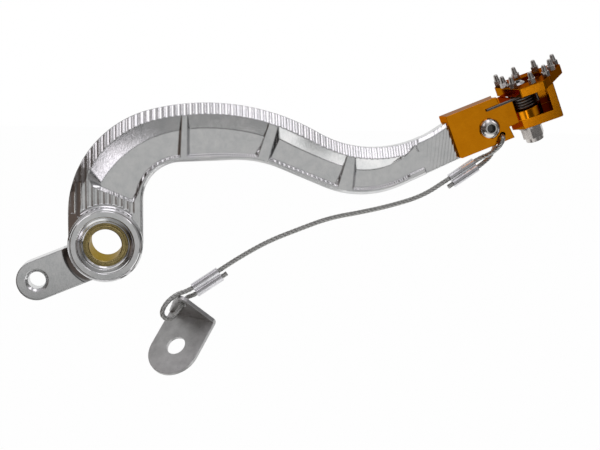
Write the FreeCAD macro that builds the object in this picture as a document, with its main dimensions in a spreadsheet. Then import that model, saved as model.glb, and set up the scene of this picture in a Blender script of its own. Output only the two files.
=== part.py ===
# Rear brake pedal of a motocross bike, right-hand side, with a folding toe piece
# and a wire rope to a frame bracket. Millimetres.
# +X runs forward to the toe, +Z up, +Y towards the bike. The origin is the centre
# of the pivot bush.
import FreeCAD, Part
import math
import os
import Sketcher
from FreeCAD import Placement, Rotation
from FreeCAD import Vector as V

doc = FreeCAD.newDocument("rear_brake_pedal")
sheet = doc.addObject("Spreadsheet::Sheet", "dims")

SIZES = [
    ("hub_radius", 18.5, "hub barrel"),
    ("hub_width", 24.0, "hub barrel, along the pivot"),
    ("hub_lip", 0.8, "chamfer on the hub's rims"),
    ("dish_radius", 14.4, "shallow dish in the hub's faces"),
    ("dish_depth", 0.9, "depth of the dish"),
    ("lead_in", 1.4, "lead-in chamfer at the bush"),
    ("bush_outer", 20.0, "bush, outside diameter"),
    ("bush_bore", 16.0, "bush, bore for the pivot bolt's collar"),
    ("bush_length", 21.4, "bush, along the pivot"),
    ("bush_lip", 0.4, "chamfer at the bush's ends"),
    ("lug_reach_x", 34.0, "master-cylinder lug, behind the pivot"),
    ("lug_drop", 18.3, "master-cylinder lug, below the pivot"),
    ("lug_radius", 10.0, "rounded end of the lug"),
    ("lug_hole", 8.6, "clevis-pin hole"),
    ("lug_front", 7.0, "lug's outboard face, outboard of the middle plane"),
    ("lug_thick", 9.5, "lug's thickness"),
    ("lug_lip", 1.35, "countersink on the clevis-pin hole"),
    ("arm_front", 9.0, "arm's outboard face, outboard of the middle plane"),
    ("arm_thick", 12.0, "arm's thickness"),
    ("root_rise", 14.8, "height where the arm's back edge leaves the upright"),
    ("shoulder_x", 21.8, "back edge, shoulder"),
    ("shoulder_z", 67.4, "back edge, shoulder"),
    ("brow_x", 106.9, "top edge, end of the arch"),
    ("brow_z", 57.3, "top edge, end of the arch"),
    ("sag_x", 166.8, "top edge, end of the dip"),
    ("sag_z", 58.3, "top edge, end of the dip"),
    ("crook_z", 22.1, "inner edge, foot of the crook"),
    ("crook_x", 37.4, "inner edge, end of the crook"),
    ("crook_top", 41.7, "inner edge, end of the crook"),
    ("under_x", 62.4, "inner edge, end of the straight"),
    ("under_z", 42.9, "inner edge, end of the straight"),
    ("knee_x", 87.4, "inner edge, end of the knee"),
    ("knee_z", 38.7, "inner edge, end of the knee"),
    ("belly_x", 109.9, "inner edge, start of the belly"),
    ("belly_z", 29.5, "inner edge, start of the belly"),
    ("rise_run", 30.9, "inner edge, straight run up to the block's corner, along x"),
    ("rise_z", 30.4, "inner edge, end of the belly"),
    ("heel_x", 181.3, "block's lower rear corner"),
    ("heel_z", 44.6, "block's lower rear corner"),
    ("tip_slope", 22.0, "slope of the block, degrees"),
    ("band_width", 5.4, "scalloped band along the back edge"),
    ("band_fall", 3.5, "fall of the scalloped band"),
    ("pocket_depth", 2.2, "pocket floor below the rim"),
    ("bevel_inset", 13.0, "pocket floor's upper edge from the back edge"),
    ("rim_inset", 3.4, "pocket's lower edge from the inner edge"),
    ("edge_soft", 1.2, "softened long edges"),
    ("rib_width", 3.8, "ribs between the pockets"),
    ("last_top", 25.0, "last pocket's bevel, right-hand end from the third rib"),
    ("last_low", 29.5, "last pocket's lower edge, right-hand end from the third rib"),
    ("last_reach", 18.1, "last pocket's floor, from its far end to the block's corner, along x"),
    ("last_arc", 32.1, "last pocket's floor, radius of its upper edge"),
    ("last_arc_x", 7.0, "lowest point of that edge from the third rib, along x"),
    ("last_high", 9.171, "lowest point of that edge over the pocket's lower edge"),
    ("pocket_end", -8.0, "rounded rear end of the first pocket, along x"),
    ("rib_one", 39.0, "first rib, along x"),
    ("rib_two", 81.0, "second rib, along x"),
    ("rib_three", 124.5, "third rib, along x"),
    ("flute_pitch", 2.9, "step between the band's scallops"),
    ("flute_depth", 0.3, "depth of the scallops"),
    ("flute_first", -16.0, "first scallop, along x"),
    ("flute_last", 158.0, "last scallop, along x"),
    ("flute_land", 0.08, "flat left between two scallops"),
    ("cove", 2.0, "hollow round the hub, radius"),
    ("tenon_thick", 7.6, "arm's end inside the block"),
    ("tenon_height", 19.8, "arm's end inside the block"),
    ("tenon_length", 25.3, "arm's end inside the block"),
    ("plain_length", 19.0, "plain end of the arm before the block"),
    ("slot_gap", 0.05, "play between the arm's end and the block"),
    ("block_cheek", 2.65, "block's cheek beside the arm's end"),
    ("block_height", 23.3, "block across the slope"),
    ("block_run", 36.0, "block along the slope, before the scoop"),
    ("block_soft", 1.6, "block's rounded rear corners"),
    ("bolt_x", 19.9, "clamp screw, along the slope"),
    ("bolt_z", 9.3, "clamp screw, across the slope"),
    ("bolt_thread", 6.0, "clamp screw"),
    ("bolt_head", 11.0, "clamp screw's button head"),
    ("bolt_head_high", 3.3, "clamp screw's button head"),
    ("bolt_socket", 4.0, "clamp screw's hexagon socket"),
    ("eye_x", 25.5, "rope hole, along the slope"),
    ("eye_z", 3.7, "rope hole, across the slope"),
    ("eye_hole", 3.0, "rope hole"),
    ("pivot_x", 211.3, "toe pivot axis at the plate's top"),
    ("pivot_y", -5.2, "toe pivot axis at the plate's top"),
    ("pivot_z", 84.2, "toe pivot axis at the plate's top"),
    ("pivot_tilt", 25.0, "toe pivot's lean to the rear, degrees"),
    ("pivot_lean", 8.0, "toe pivot's lean outboard, degrees"),
    ("toe_turn", 18.0, "toe piece's turn outboard at rest, degrees"),
    ("scoop_radius", 15.0, "scoop in the block round the toe pivot, above and below its root"),
    ("spring_room", 8.9, "radius of the room for the spring in the block's root"),
    ("root_gap", 0.35, "running gap between the root and the toe plate"),
    ("root_front", -2.0, "tongue's outboard flank where it leaves the root"),
    ("slot_clear", 0.15, "room over and under the arm's end in the block"),
    ("jaw_nip", 5.6, "corner cut off the jaw"),
    ("plate_thick", 4.7, "toe plate"),
    ("plate_offset", 6.4, "toe plate's middle ahead of its pivot"),
    ("plate_front", 12.6, "toe plate's outboard edge from its pivot"),
    ("plate_nose", 6.5, "half the toe plate's outboard edge"),
    ("plate_half", 17.8, "half the toe plate's greatest width"),
    ("plate_mid", 6.3, "greatest width, inboard of the pivot"),
    ("plate_back", 13.4, "toe plate's inboard edge from its pivot"),
    ("plate_tail", 14.4, "half the toe plate's inboard edge"),
    ("head_well", 2.4, "well for the toe bolt's head"),
    ("window_drop", 13.5, "window between plate and jaw"),
    ("jaw_thick", 5.0, "toe piece's lower jaw"),
    ("jaw_front", 6.6, "jaw's outboard face from the pivot"),
    ("jaw_back", 11.2, "jaw's inboard face from the pivot"),
    ("wall_thick", 2.2, "wall behind the window"),
    ("wall_reach", 4.0, "wall behind the window, to the rear of the pivot"),
    ("web_inner", 13.3, "upright's inner face from the pivot"),
    ("web_thick", 3.9, "upright of the toe piece"),
    ("jaw_tail", 9.4, "jaw's rear end from the pivot"),
    ("tongue_gap", 0.35, "running gap between tongue and jaw"),
    ("tongue_thick", 4.9, "block's tongue in the toe piece"),
    ("tongue_radius", 8.6, "rounded end of the tongue"),
    ("pin", 6.0, "toe bolt's shank"),
    ("pin_play", 0.05, "running play round the shank"),
    ("pin_head", 8.4, "toe bolt's head"),
    ("pin_head_high", 3.0, "toe bolt's head"),
    ("pin_socket", 4.0, "toe bolt's hexagon socket"),
    ("washer_outer", 12.6, "washer under the lock nut"),
    ("washer_thick", 1.2, "washer under the lock nut"),
    ("nut_flats", 10.4, "lock nut across flats"),
    ("nut_high", 5.6, "lock nut's hexagon"),
    ("collar_high", 2.4, "lock nut's collar with its ring"),
    ("sleeve_wall", 1.8, "sleeve inside the spring"),
    ("sleeve_play", 0.15, "play between sleeve and plate"),
    ("wire", 1.4, "spring wire"),
    ("coil_radius", 6.4, "spring, mean radius"),
    ("coil_turns", 4.0, "whole turns of the spring"),
    ("coil_play", 0.12, "play between the spring and what it lies on"),
    ("coil_head", 0.15, "room over the spring, under the plate"),
    ("catch_angle", -25.0, "spring's upper end, from the block's middle, degrees"),
    ("catch_deep", 1.7, "blind hole under the plate for the spring"),
    ("leg_length", 21.5, "spring leg along the block"),
    ("stud_flats", 3.6, "stud's hexagon across flats"),
    ("stud_base", 2.6, "stud's hexagon height"),
    ("stud_point", 3.4, "stud's point height"),
    ("stud_foot", 1.5, "radius at the point's foot"),
    ("stud_top", 1.1, "radius at the point's top"),
    ("stud_shank", 2.8, "stud's shank in the plate"),
    ("stud_deep", 3.2, "depth of the shank in the plate"),
    ("rope", 2.4, "wire rope"),
    ("rope_play", 0.05, "play between rope and ferrule"),
    ("rope_tail", 3.2, "rope's cut end past its ferrule"),
    ("rope_lead", 3.2, "straight rope at a ferrule's mouth"),
    ("barrel_radius", 2.15, "ferrule barrel"),
    ("barrel_spacing", 3.5, "between the two barrels"),
    ("ferrule_length", 15.4, "crimp ferrules"),
    ("sheet_thick", 2.0, "bracket's sheet"),
    ("bracket_width", 28.0, "bracket's width"),
    ("bracket_length", 34.0, "bracket's drilled leg"),
    ("bracket_hole", 10.2, "bracket's bolt hole"),
    ("bracket_hole_at", 17.5, "bolt hole from the bend"),
    ("ear_high", 18.7, "bracket's ear"),
    ("ear_tip", 5.0, "rounded tip of the ear"),
    ("ear_hole", 4.4, "rope hole in the ear"),
]
for row, (name, number, note) in enumerate(SIZES, start=1):
    sheet.set(f"A{row}", name)
    sheet.set(f"B{row}", str(number))
    sheet.set(f"C{row}", note)
    sheet.setAlias(f"B{row}", name)
doc.recompute()


def size(name):
    return float(sheet.get(name))


def origin_plane(body, role):
    for feature in body.Origin.OriginFeatures:
        if feature.Role == role:
            return feature
    raise ValueError(role)


def new_body(name):
    body = doc.addObject("PartDesign::Body", name)
    return body


def new_sketch(body, name, role, offset="0"):
    sketch = body.newObject("Sketcher::SketchObject", name)
    sketch.AttachmentSupport = [(origin_plane(body, role), "")]
    sketch.MapMode = "FlatFace"
    sketch.setExpression("AttachmentOffset.Base.z", offset)
    return sketch


def add_edges(sketch, edges):
    for edge in edges:
        index = sketch.addGeometry(edge, False)
        sketch.addConstraint(Sketcher.Constraint("Block", index))


def add_circle(sketch, x, y, radius_expression, start=5.0):
    index = sketch.addGeometry(Part.Circle(V(x, y, 0), V(0, 0, 1), start), False)
    sketch.addConstraint(Sketcher.Constraint("DistanceX", -1, 1, index, 3, x))
    sketch.addConstraint(Sketcher.Constraint("DistanceY", -1, 1, index, 3, y))
    which = sketch.addConstraint(Sketcher.Constraint("Radius", index, start))
    sketch.setExpression(f"Constraints[{which}]", radius_expression)
    return index


def pad(body, sketch, name, length):
    feature = body.newObject("PartDesign::Pad", name)
    feature.Profile = sketch
    feature.setExpression("Length", length)
    return feature


def pocket(body, sketch, name, length):
    feature = body.newObject("PartDesign::Pocket", name)
    feature.Profile = sketch
    feature.setExpression("Length", length)
    return feature


def segment(a, b):
    return Part.LineSegment(V(a[0], a[1], 0), V(b[0], b[1], 0))


def arc3(a, m, b):
    return Part.Arc(V(a[0], a[1], 0), V(m[0], m[1], 0), V(b[0], b[1], 0))


def rounded_polygon(points, radii):
    """Edges of a polygon whose corners are rounded by the given radii."""
    count = len(points)
    starts = []
    ends = []
    mids = []
    for i in range(count):
        p = V(*points[i], 0)
        before = V(*points[i - 1], 0) - p
        after = V(*points[(i + 1) % count], 0) - p
        half = before.getAngle(after) / 2
        before.normalize()
        after.normalize()
        r = radii[i]
        if r <= 0:
            starts.append(p)
            ends.append(p)
            mids.append(None)
            continue
        cut = r / math.tan(half)
        a = p + before * cut
        b = p + after * cut
        bisector = before + after
        bisector.normalize()
        centre = p + bisector * (r / math.sin(half))
        starts.append(a)
        ends.append(b)
        mids.append(centre - bisector * r)
    edges = []
    for i in range(count):
        if mids[i] is not None:
            edges.append(arc3(starts[i], mids[i], ends[i]))
        a = ends[i]
        b = starts[(i + 1) % count]
        if (b - a).Length > 1e-6:
            edges.append(segment(a, b))
    return edges


def hexagon(flats, turn=0.0):
    r = flats / math.sqrt(3)
    return [
        (r * math.cos(math.radians(turn + 60 * i)), r * math.sin(math.radians(turn + 60 * i)))
        for i in range(6)
    ]


class Edge:
    """A smooth edge line made of arcs, each tangent to the one before it."""

    def __init__(self, start, heading, points):
        self.parts = []
        here = V(start[0], start[1], 0)
        for target in points:
            there = V(target[0], target[1], 0)
            chord = there - here
            along = math.degrees(math.atan2(chord.y, chord.x))
            bend = (along - heading + 180) % 360 - 180
            side = V(-math.sin(math.radians(heading)), math.cos(math.radians(heading)), 0)
            radius = chord.Length / (2 * math.sin(math.radians(bend))) if abs(bend) > 0.02 else None
            self.parts.append((here, there, heading, bend, radius, side))
            heading += 2 * bend
            here = there
        self.heading = heading
        self.end = here

    def point(self, part, t, inset=0.0):
        """The point a share t along a part, moved to its right-hand side by inset."""
        here, there, heading, bend, radius, side = self.parts[part]
        if radius is None:
            base = here + (there - here) * t
            normal = side
        else:
            centre = here + side * radius
            turn = Rotation(V(0, 0, 1), 2 * bend * t)
            base = centre + turn.multVec(here - centre)
            normal = turn.multVec(side)
        return base - normal * inset

    def at_x(self, x, inset=0.0):
        """The point of the inset line whose x is the given one."""
        best = None
        for part in range(len(self.parts)):
            low, high = 0.0, 1.0
            a = self.point(part, 0.0, inset).x - x
            b = self.point(part, 1.0, inset).x - x
            if a * b > 0:
                continue
            for _ in range(50):
                mid = (low + high) / 2
                c = self.point(part, mid, inset).x - x
                if a * c <= 0:
                    high = mid
                else:
                    low = mid
                    a = c
            best = self.point(part, (low + high) / 2, inset)
        return best

    def geometry(self):
        edges = []
        for part in range(len(self.parts)):
            a = self.point(part, 0.0)
            m = self.point(part, 0.5)
            b = self.point(part, 1.0)
            if self.parts[part][4] is None:
                edges.append(segment(a, b))
            else:
                edges.append(arc3(a, m, b))
        return edges


# The slope's own frame: x along the block, z across it, from the block's lower rear corner.
slope = size("tip_slope")
heel = V(size("heel_x"), 0, size("heel_z"))
slope_turn = Rotation(V(0, 1, 0), -slope)
slope_place = Placement(heel, slope_turn)


def on_slope(x, z, y=0.0):
    return heel + slope_turn.multVec(V(x, y, z))


def flat(vector):
    return (vector.x, vector.z)


# The two long edges of the arm, seen from outboard, in x and z.
hub_r = size("hub_radius")
back_edge = Edge(
    (-hub_r, size("root_rise")),
    90.0,
    [
        (size("shoulder_x"), size("shoulder_z")),
        (size("brow_x"), size("brow_z")),
        (size("sag_x"), size("sag_z")),
    ],
)
rise_x = heel.x - size("rise_run")
inner_edge = Edge(
    (hub_r, size("crook_z")),
    90.0,
    [
        (size("crook_x"), size("crook_top")),
        (size("under_x"), size("under_z")),
        (size("knee_x"), size("knee_z")),
        (size("belly_x"), size("belly_z")),
        (rise_x, size("rise_z")),
        (heel.x, heel.z),
    ],
)
tenon_r = size("tenon_height") / 2
tenon_mid = size("tenon_length") - tenon_r
tenon_low = flat(on_slope(tenon_mid, 0))
tenon_far = flat(on_slope(size("tenon_length"), tenon_r))
tenon_high = flat(on_slope(tenon_mid, size("tenon_height")))
tenon_rear = flat(on_slope(0, size("tenon_height")))

arm_outline = (
    [segment((-hub_r, 0), (-hub_r, size("root_rise")))]
    + back_edge.geometry()
    + [
        segment((back_edge.end.x, back_edge.end.y), tenon_rear),
        segment(tenon_rear, tenon_high),
        arc3(tenon_high, tenon_far, tenon_low),
        segment(tenon_low, (heel.x, heel.z)),
    ]
    + inner_edge.geometry()
    + [segment((hub_r, size("crook_z")), (hub_r, 0)), segment((hub_r, 0), (-hub_r, 0))]
)

# The arm: blank, hub barrel and lug, then the bores.
arm = new_body("arm_blank")
blank_sketch = new_sketch(arm, "blank_sketch", "XZ_Plane", "dims.arm_front - dims.arm_thick")
add_edges(blank_sketch, arm_outline)
blank = pad(arm, blank_sketch, "blank", "dims.arm_thick")
doc.recompute()

front_y = -size("arm_front")
back_y = front_y + size("arm_thick")


def long_edges(shape, y, line, tolerance=0.05):
    """Names of a shape's edges that lie on a plane of constant y along a long edge line."""
    names = []
    for i, edge in enumerate(shape.Edges, start=1):
        mid = edge.valueAt((edge.FirstParameter + edge.LastParameter) / 2)
        if abs(mid.y - y) > 1e-3 or abs(edge.Vertexes[0].Point.y - y) > 1e-3:
            continue
        for part in range(len(line.parts)):
            if (line.point(part, 0.5) - V(mid.x, mid.z, 0)).Length < tolerance:
                names.append(f"Edge{i}")
    return names


def upright_edges(shape, y):
    """Names of the edges on a plane of constant y that run up beside the hub, behind it."""
    names = []
    for i, edge in enumerate(shape.Edges, start=1):
        mid = edge.valueAt((edge.FirstParameter + edge.LastParameter) / 2)
        if abs(mid.y - y) < 1e-3 and abs(mid.x + hub_r) < 1e-3 and mid.z < size("root_rise"):
            names.append(f"Edge{i}")
    return names


band = arm.newObject("PartDesign::Chamfer", "band")
band.Base = (blank, long_edges(blank.Shape, front_y, back_edge) + upright_edges(blank.Shape, front_y))
band.ChamferType = "Two distances"
band.setExpression("Size", "dims.band_fall")
band.setExpression("Size2", "dims.band_width")
doc.recompute()
shoulder = V(size("shoulder_x"), front_y + 0.05, size("shoulder_z") - 0.6 * size("band_width"))
if band.Shape.isValid() and band.Shape.isInside(shoulder, 1e-4, True):
    band.FlipDirection = True
    doc.recompute()

soft = arm.newObject("PartDesign::Chamfer", "soft_edges")
soft.Base = (
    band,
    long_edges(band.Shape, front_y, inner_edge)
    + long_edges(band.Shape, back_y, inner_edge)
    + long_edges(band.Shape, back_y, back_edge),
)
soft.setExpression("Size", "dims.edge_soft")
doc.recompute()

hub_sketch = new_sketch(arm, "hub_sketch", "XZ_Plane", "-dims.hub_width / 2")
add_circle(hub_sketch, 0, 0, "dims.hub_radius", hub_r)
hub = pad(arm, hub_sketch, "hub", "dims.hub_width")

# The lug's sides run tangent to its rounded end and come in to the hub.
lug_x = -size("lug_reach_x")
lug_z = -size("lug_drop")
lug_r = size("lug_radius")
lug_way = math.degrees(math.atan2(-lug_z, -lug_x))
lug_flank = lug_way - 6.5


def round_lug(angle):
    return (lug_x + lug_r * math.cos(math.radians(angle)), lug_z + lug_r * math.sin(math.radians(angle)))


lug_top = round_lug(lug_flank + 90)
lug_bottom = round_lug(lug_flank - 90)
lug_run = math.hypot(lug_x, lug_z)
lug_step = (lug_run * math.cos(math.radians(lug_flank)), lug_run * math.sin(math.radians(lug_flank)))
lug_sketch = new_sketch(arm, "lug_sketch", "XZ_Plane", "dims.lug_front - dims.lug_thick")
add_edges(
    lug_sketch,
    [
        arc3(lug_top, round_lug(lug_flank + 180), lug_bottom),
        segment(lug_bottom, (lug_bottom[0] + lug_step[0], lug_bottom[1] + lug_step[1])),
        segment(
            (lug_bottom[0] + lug_step[0], lug_bottom[1] + lug_step[1]),
            (lug_top[0] + lug_step[0], lug_top[1] + lug_step[1]),
        ),
        segment((lug_top[0] + lug_step[0], lug_top[1] + lug_step[1]), lug_top),
    ],
)
lug = pad(arm, lug_sketch, "lug", "dims.lug_thick")
doc.recompute()

lug_hole_sketch = new_sketch(arm, "lug_hole_sketch", "XZ_Plane", "dims.lug_front")
add_circle(lug_hole_sketch, lug_x, lug_z, "dims.lug_hole / 2", size("lug_hole") / 2)
lug_hole = pocket(arm, lug_hole_sketch, "lug_bore", "dims.lug_thick")

bore_sketch = new_sketch(arm, "bore_sketch", "XZ_Plane", "dims.hub_width / 2")
add_circle(bore_sketch, 0, 0, "dims.bush_outer / 2", size("bush_outer") / 2)
bore = pocket(arm, bore_sketch, "hub_bore", "dims.hub_width")
doc.recompute()


def ring_edges(shape, centre, radius, planes):
    names = []
    for i, edge in enumerate(shape.Edges, start=1):
        curve = edge.Curve
        if not hasattr(curve, "Radius") or abs(curve.Radius - radius) > 1e-3:
            continue
        near = V(curve.Center.x - centre[0], 0, curve.Center.z - centre[1]).Length
        if near < 1e-3 and min(abs(curve.Center.y - y) for y in planes) < 1e-3:
            names.append(f"Edge{i}")
    return names


half_hub = size("hub_width") / 2
rims = arm.newObject("PartDesign::Chamfer", "hub_rims")
rims.Base = (bore, ring_edges(bore.Shape, (0, 0), hub_r, (-half_hub, half_hub)))
rims.setExpression("Size", "dims.hub_lip")
doc.recompute()
sink = arm.newObject("PartDesign::Chamfer", "lug_sink")
lug_faces = (-size("lug_front"), -size("lug_front") + size("lug_thick"))
sink.Base = (rims, ring_edges(rims.Shape, (lug_x, lug_z), size("lug_hole") / 2, lug_faces))
sink.setExpression("Size", "dims.lug_lip")
doc.recompute()

# The dish and lead-in at both ends of the hub, turned about the pivot.
dish_cut = arm.newObject("PartDesign::Groove", "dish")
dish_sketch = new_sketch(arm, "dish_sketch", "XY_Plane")
dish_r = size("dish_radius")
bush_r = size("bush_outer") / 2
lead = size("lead_in")
depth = size("dish_depth")
for side in (-1, 1):
    profile = [
        (0.0, side * half_hub),
        (dish_r, side * half_hub),
        (bush_r + lead, side * (half_hub - depth)),
        (bush_r, side * (half_hub - depth - lead)),
        (0.0, side * (half_hub - depth - lead)),
    ]
    add_edges(dish_sketch, [segment(profile[i], profile[(i + 1) % 5]) for i in range(5)])
dish_cut.Profile = dish_sketch
dish_cut.ReferenceAxis = (dish_sketch, ["V_Axis"])
dish_cut.Angle = 360
arm.Tip = dish_cut
doc.recompute()

# Pockets in the outboard face: a flat floor, a wide bevel up to the scalloped band,
# a steep wall on the inner side. Ribs are left standing between them.
floor_y = front_y + size("pocket_depth")
band_w = size("band_width")
bevel = size("bevel_inset")
rim = size("rim_inset")
rib = size("rib_width")


def wire_at(y, corners, curved):
    """A closed wire at one depth; a corner pair marked curved is joined through a middle point."""
    edges = []
    count = len(corners)
    for i in range(count):
        a = V(corners[i].x, y, corners[i].y)
        b = V(corners[(i + 1) % count].x, y, corners[(i + 1) % count].y)
        if i in curved:
            m = V(curved[i].x, y, curved[i].y)
            edges.append(Part.Arc(a, m, b).toShape())
        else:
            edges.append(Part.LineSegment(a, b).toShape())
    return Part.Wire(edges)


def pocket_between(left_top, right_top, left_low, right_low, top_inset, open_end=False):
    wall = 0.45 * size("pocket_depth")
    inset_low = -rim
    floor_corners = [
        back_edge.at_x(left_top, top_inset),
        back_edge.at_x(right_top, top_inset),
        inner_edge.at_x(right_low, inset_low),
        inner_edge.at_x(left_low, inset_low),
    ]
    floor_curves = {
        0: back_edge.at_x((left_top + right_top) / 2, top_inset),
        2: inner_edge.at_x((left_low + right_low) / 2, inset_low),
    }
    high_corners = [
        back_edge.at_x(left_top - wall, band_w),
        back_edge.at_x(right_top + wall, band_w),
        inner_edge.at_x(right_low + wall, inset_low + wall),
        inner_edge.at_x(left_low - wall, inset_low + wall),
    ]
    high_curves = {
        0: back_edge.at_x((left_top + right_top) / 2, band_w),
        2: inner_edge.at_x((left_low + right_low) / 2, inset_low + wall),
    }
    low = wire_at(floor_y, floor_corners, floor_curves)
    high = wire_at(front_y, high_corners, high_curves)
    return Part.makeLoft([low, high], True, True)


rib_one = size("rib_one")
rib_two = size("rib_two")
rib_three = size("rib_three")
half_rib = rib / 2 + 0.5
pockets = [
    pocket_between(rib_one + half_rib, rib_two - half_rib + 1.5, rib_one + half_rib, rib_two - half_rib - 4.0, bevel - 0.4),
    pocket_between(rib_two + half_rib + 3.5, rib_three - half_rib - 1.5, rib_two + half_rib - 1.0, rib_three - half_rib - 6.0, bevel - 1.6),
]

# The first pocket runs from its rounded rear end down to the flutes over the hub.
wall = 0.45 * size("pocket_depth")
end_x = size("pocket_end")
first_floor = [
    back_edge.at_x(end_x + 6.6, bevel + 0.4),
    back_edge.at_x(rib_one - half_rib, bevel - 0.2),
    inner_edge.at_x(rib_one - half_rib - 0.8, -rim),
    V(inner_edge.point(0, 0.05, 0).x - rim, size("crook_z") + 4.0, 0),
    V(inner_edge.point(0, 0.05, 0).x - rim - 2.0, size("crook_z") + 0.2, 0),
]
low_end = back_edge.at_x(end_x + 6.6, bevel + 0.4) + V(-0.5, -3.0, 0)
first_floor.append(low_end)
first_high = [
    back_edge.at_x(end_x + 1.0, band_w - 0.6),
    back_edge.at_x(rib_one - half_rib + wall, band_w),
    inner_edge.at_x(rib_one - half_rib - 0.8 + wall, -rim + wall),
    V(first_floor[3].x + wall, first_floor[3].y, 0),
    V(first_floor[4].x + 0.5 * wall, first_floor[4].y - wall, 0),
    low_end + V(-1.4, -1.2, 0),
]
first_floor_curves = {
    0: back_edge.at_x((first_floor[0].x + first_floor[1].x) / 2 - 4.0, bevel + 1.4),
    2: inner_edge.point(0, 0.45, -rim),
    5: (first_floor[0] + low_end) * 0.5 + V(-0.5, 0, 0),
}
first_high_curves = {
    0: back_edge.at_x((first_high[0].x + first_high[1].x) / 2 - 6.0, band_w),
    2: inner_edge.point(0, 0.45, -rim + wall),
    5: V(end_x, low_end.y + 2.6, 0),
}
pockets.append(
    Part.makeLoft(
        [
            wire_at(floor_y, first_floor, first_floor_curves),
            wire_at(front_y, first_high, first_high_curves),
        ],
        True,
        True,
    )
)

# The last pocket has no right-hand wall: its floor runs out into the arm's plain end.
last_x = rib_three + half_rib
last_r = size("last_arc")
last_top_x = rib_three + size("last_top")
last_low_x = rib_three + size("last_low")
last_far_x = heel.x - size("last_reach")
last_sill = inner_edge.at_x(rib_three + size("last_arc_x"), -rim)
last_hub = last_sill + V(0, size("last_high") + last_r, 0)


def on_last(angle):
    """A point of the arc that bounds the last pocket's floor above, by its angle from straight down."""
    turn = math.radians(angle)
    return last_hub + V(math.sin(turn), -math.cos(turn), 0) * last_r


last_floor = [
    on_last(math.degrees(math.asin((last_x - last_hub.x) / last_r))),
    on_last(32.0),
    inner_edge.at_x(last_low_x, -rim),
    inner_edge.at_x(last_x - 1.0, -rim),
]
last_floor_curves = {
    0: on_last(14.5),
    2: inner_edge.at_x((last_x - 1.0 + last_low_x) / 2, -rim),
}
last_high = [
    back_edge.at_x(last_x - wall, band_w),
    back_edge.at_x(last_top_x, band_w),
    inner_edge.at_x(last_low_x + wall, -rim + wall),
    inner_edge.at_x(last_x - 1.0 - wall, -rim + wall),
]
last_high_curves = {
    0: back_edge.at_x((last_x - wall + last_top_x) / 2, band_w),
    2: inner_edge.at_x((last_x - 1.0 + last_low_x) / 2, -rim + wall),
}
pockets.append(
    Part.makeLoft(
        [
            wire_at(floor_y, last_floor, last_floor_curves),
            wire_at(front_y, last_high, last_high_curves),
        ],
        True,
        True,
    )
)
run_out = [
    last_hub + V(0, -last_r, 0),
    on_last(54.5),
    inner_edge.at_x(last_far_x, -rim),
    inner_edge.at_x(rise_x, -rim),
    inner_edge.at_x(last_hub.x, -rim),
]
run_out_curves = {
    0: on_last(27.0),
    2: inner_edge.at_x((last_far_x + rise_x) / 2, -rim),
    3: inner_edge.at_x((rise_x + last_hub.x) / 2, -rim),
}
run_out_face = Part.Face(wire_at(floor_y, run_out, run_out_curves))
pockets.append(run_out_face.extrude(V(0, front_y - 1.0 - floor_y, 0)))
pocket_tool = doc.addObject("Part::Feature", "pocket_tool")
pocket_tool.Shape = Part.makeCompound(pockets)

# Scallops: a round-nosed cutter's steps, side by side along x, each run up the arm. On
# the band they follow its slope; over the hub they are upright, down to the cove.
band_fall = size("band_fall")
pitch = size("flute_pitch")
flute_deep = size("flute_depth")
hub_clear = hub_r + size("cove") + 0.1


def on_band(x, inset):
    """A point of the band's sloped face, a little way in from the back edge."""
    at = back_edge.at_x(x, inset)
    return V(x, front_y + band_fall * (1 - inset / band_w), at.y)


def band_out(x):
    """The way out of the back edge, square to it, in the arm's plane."""
    outer = back_edge.at_x(x, 0.0)
    inner = back_edge.at_x(x, 1.0)
    if inner is None:
        return V(-1, 0, 0)
    slope_here = back_edge.at_x(x + 0.05, 0.0) - outer
    way = V(-slope_here.y, 0, slope_here.x)
    way.normalize()
    return way


def flute(start, end, out, middle=None):
    """A cutter's path from start to end over a face whose outward normal is out."""
    along = end - start
    run_long = along.Length
    along.normalize()
    up = out - along * out.dot(along)
    up.normalize()
    across = along.cross(up)
    half = (pitch / 2 - size("flute_land")) / abs(across.x)
    foot_at = start - along * 0.8

    def spot(w, h):
        return foot_at + across * w + up * h

    bowl = Part.Arc(spot(-half, 0), spot(0, -flute_deep), spot(half, 0)).toShape()
    lid = [
        Part.makeLine(spot(half, 0), spot(half, 1.6)),
        Part.makeLine(spot(half, 1.6), spot(-half, 1.6)),
        Part.makeLine(spot(-half, 1.6), spot(-half, 0)),
    ]
    section = Part.Face(Part.Wire([bowl] + lid))
    return section.extrude(along * (run_long + 1.6))


flutes = []
flute_count = int((size("flute_last") - size("flute_first")) / pitch) + 1
slope_out = V(0, -band_w, 0)
for k in range(flute_count):
    x = size("flute_first") + k * pitch
    steps = [0.0, band_w / 2, band_w]
    if x + hub_r < band_w:
        steps = [0.0, (x + hub_r) / 2, x + hub_r - 0.02]
    line = [on_band(x, inset) for inset in steps]
    out = slope_out + band_out(x) * band_fall
    if x < 0:
        flutes.append(flute(line[2], line[1], out))
        flutes.append(flute(line[1], line[0], out))
    else:
        flutes.append(flute(line[2], line[0], out))
    if abs(x) > 15.0:
        continue
    foot_z = math.sqrt(hub_clear ** 2 - x ** 2)
    top_z = line[2].z if x < end_x + 1 else low_end.y - 0.53 * (x - low_end.x)
    if x + hub_r > band_w:
        flutes.append(flute(V(x, front_y, foot_z + 0.8), V(x, front_y, top_z), V(0, -1, 0)))
    elif foot_z + 1.5 < size("root_rise"):
        at_y = front_y + band_fall * (1 - (x + hub_r) / band_w)
        side_out = V(-band_fall, -band_w, 0)
        flutes.append(flute(V(x, at_y, foot_z + 0.8), V(x, at_y, size("root_rise")), side_out))
flute_tool = doc.addObject("Part::Feature", "flute_tool")
flute_tool.Shape = Part.makeCompound(flutes)

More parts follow.
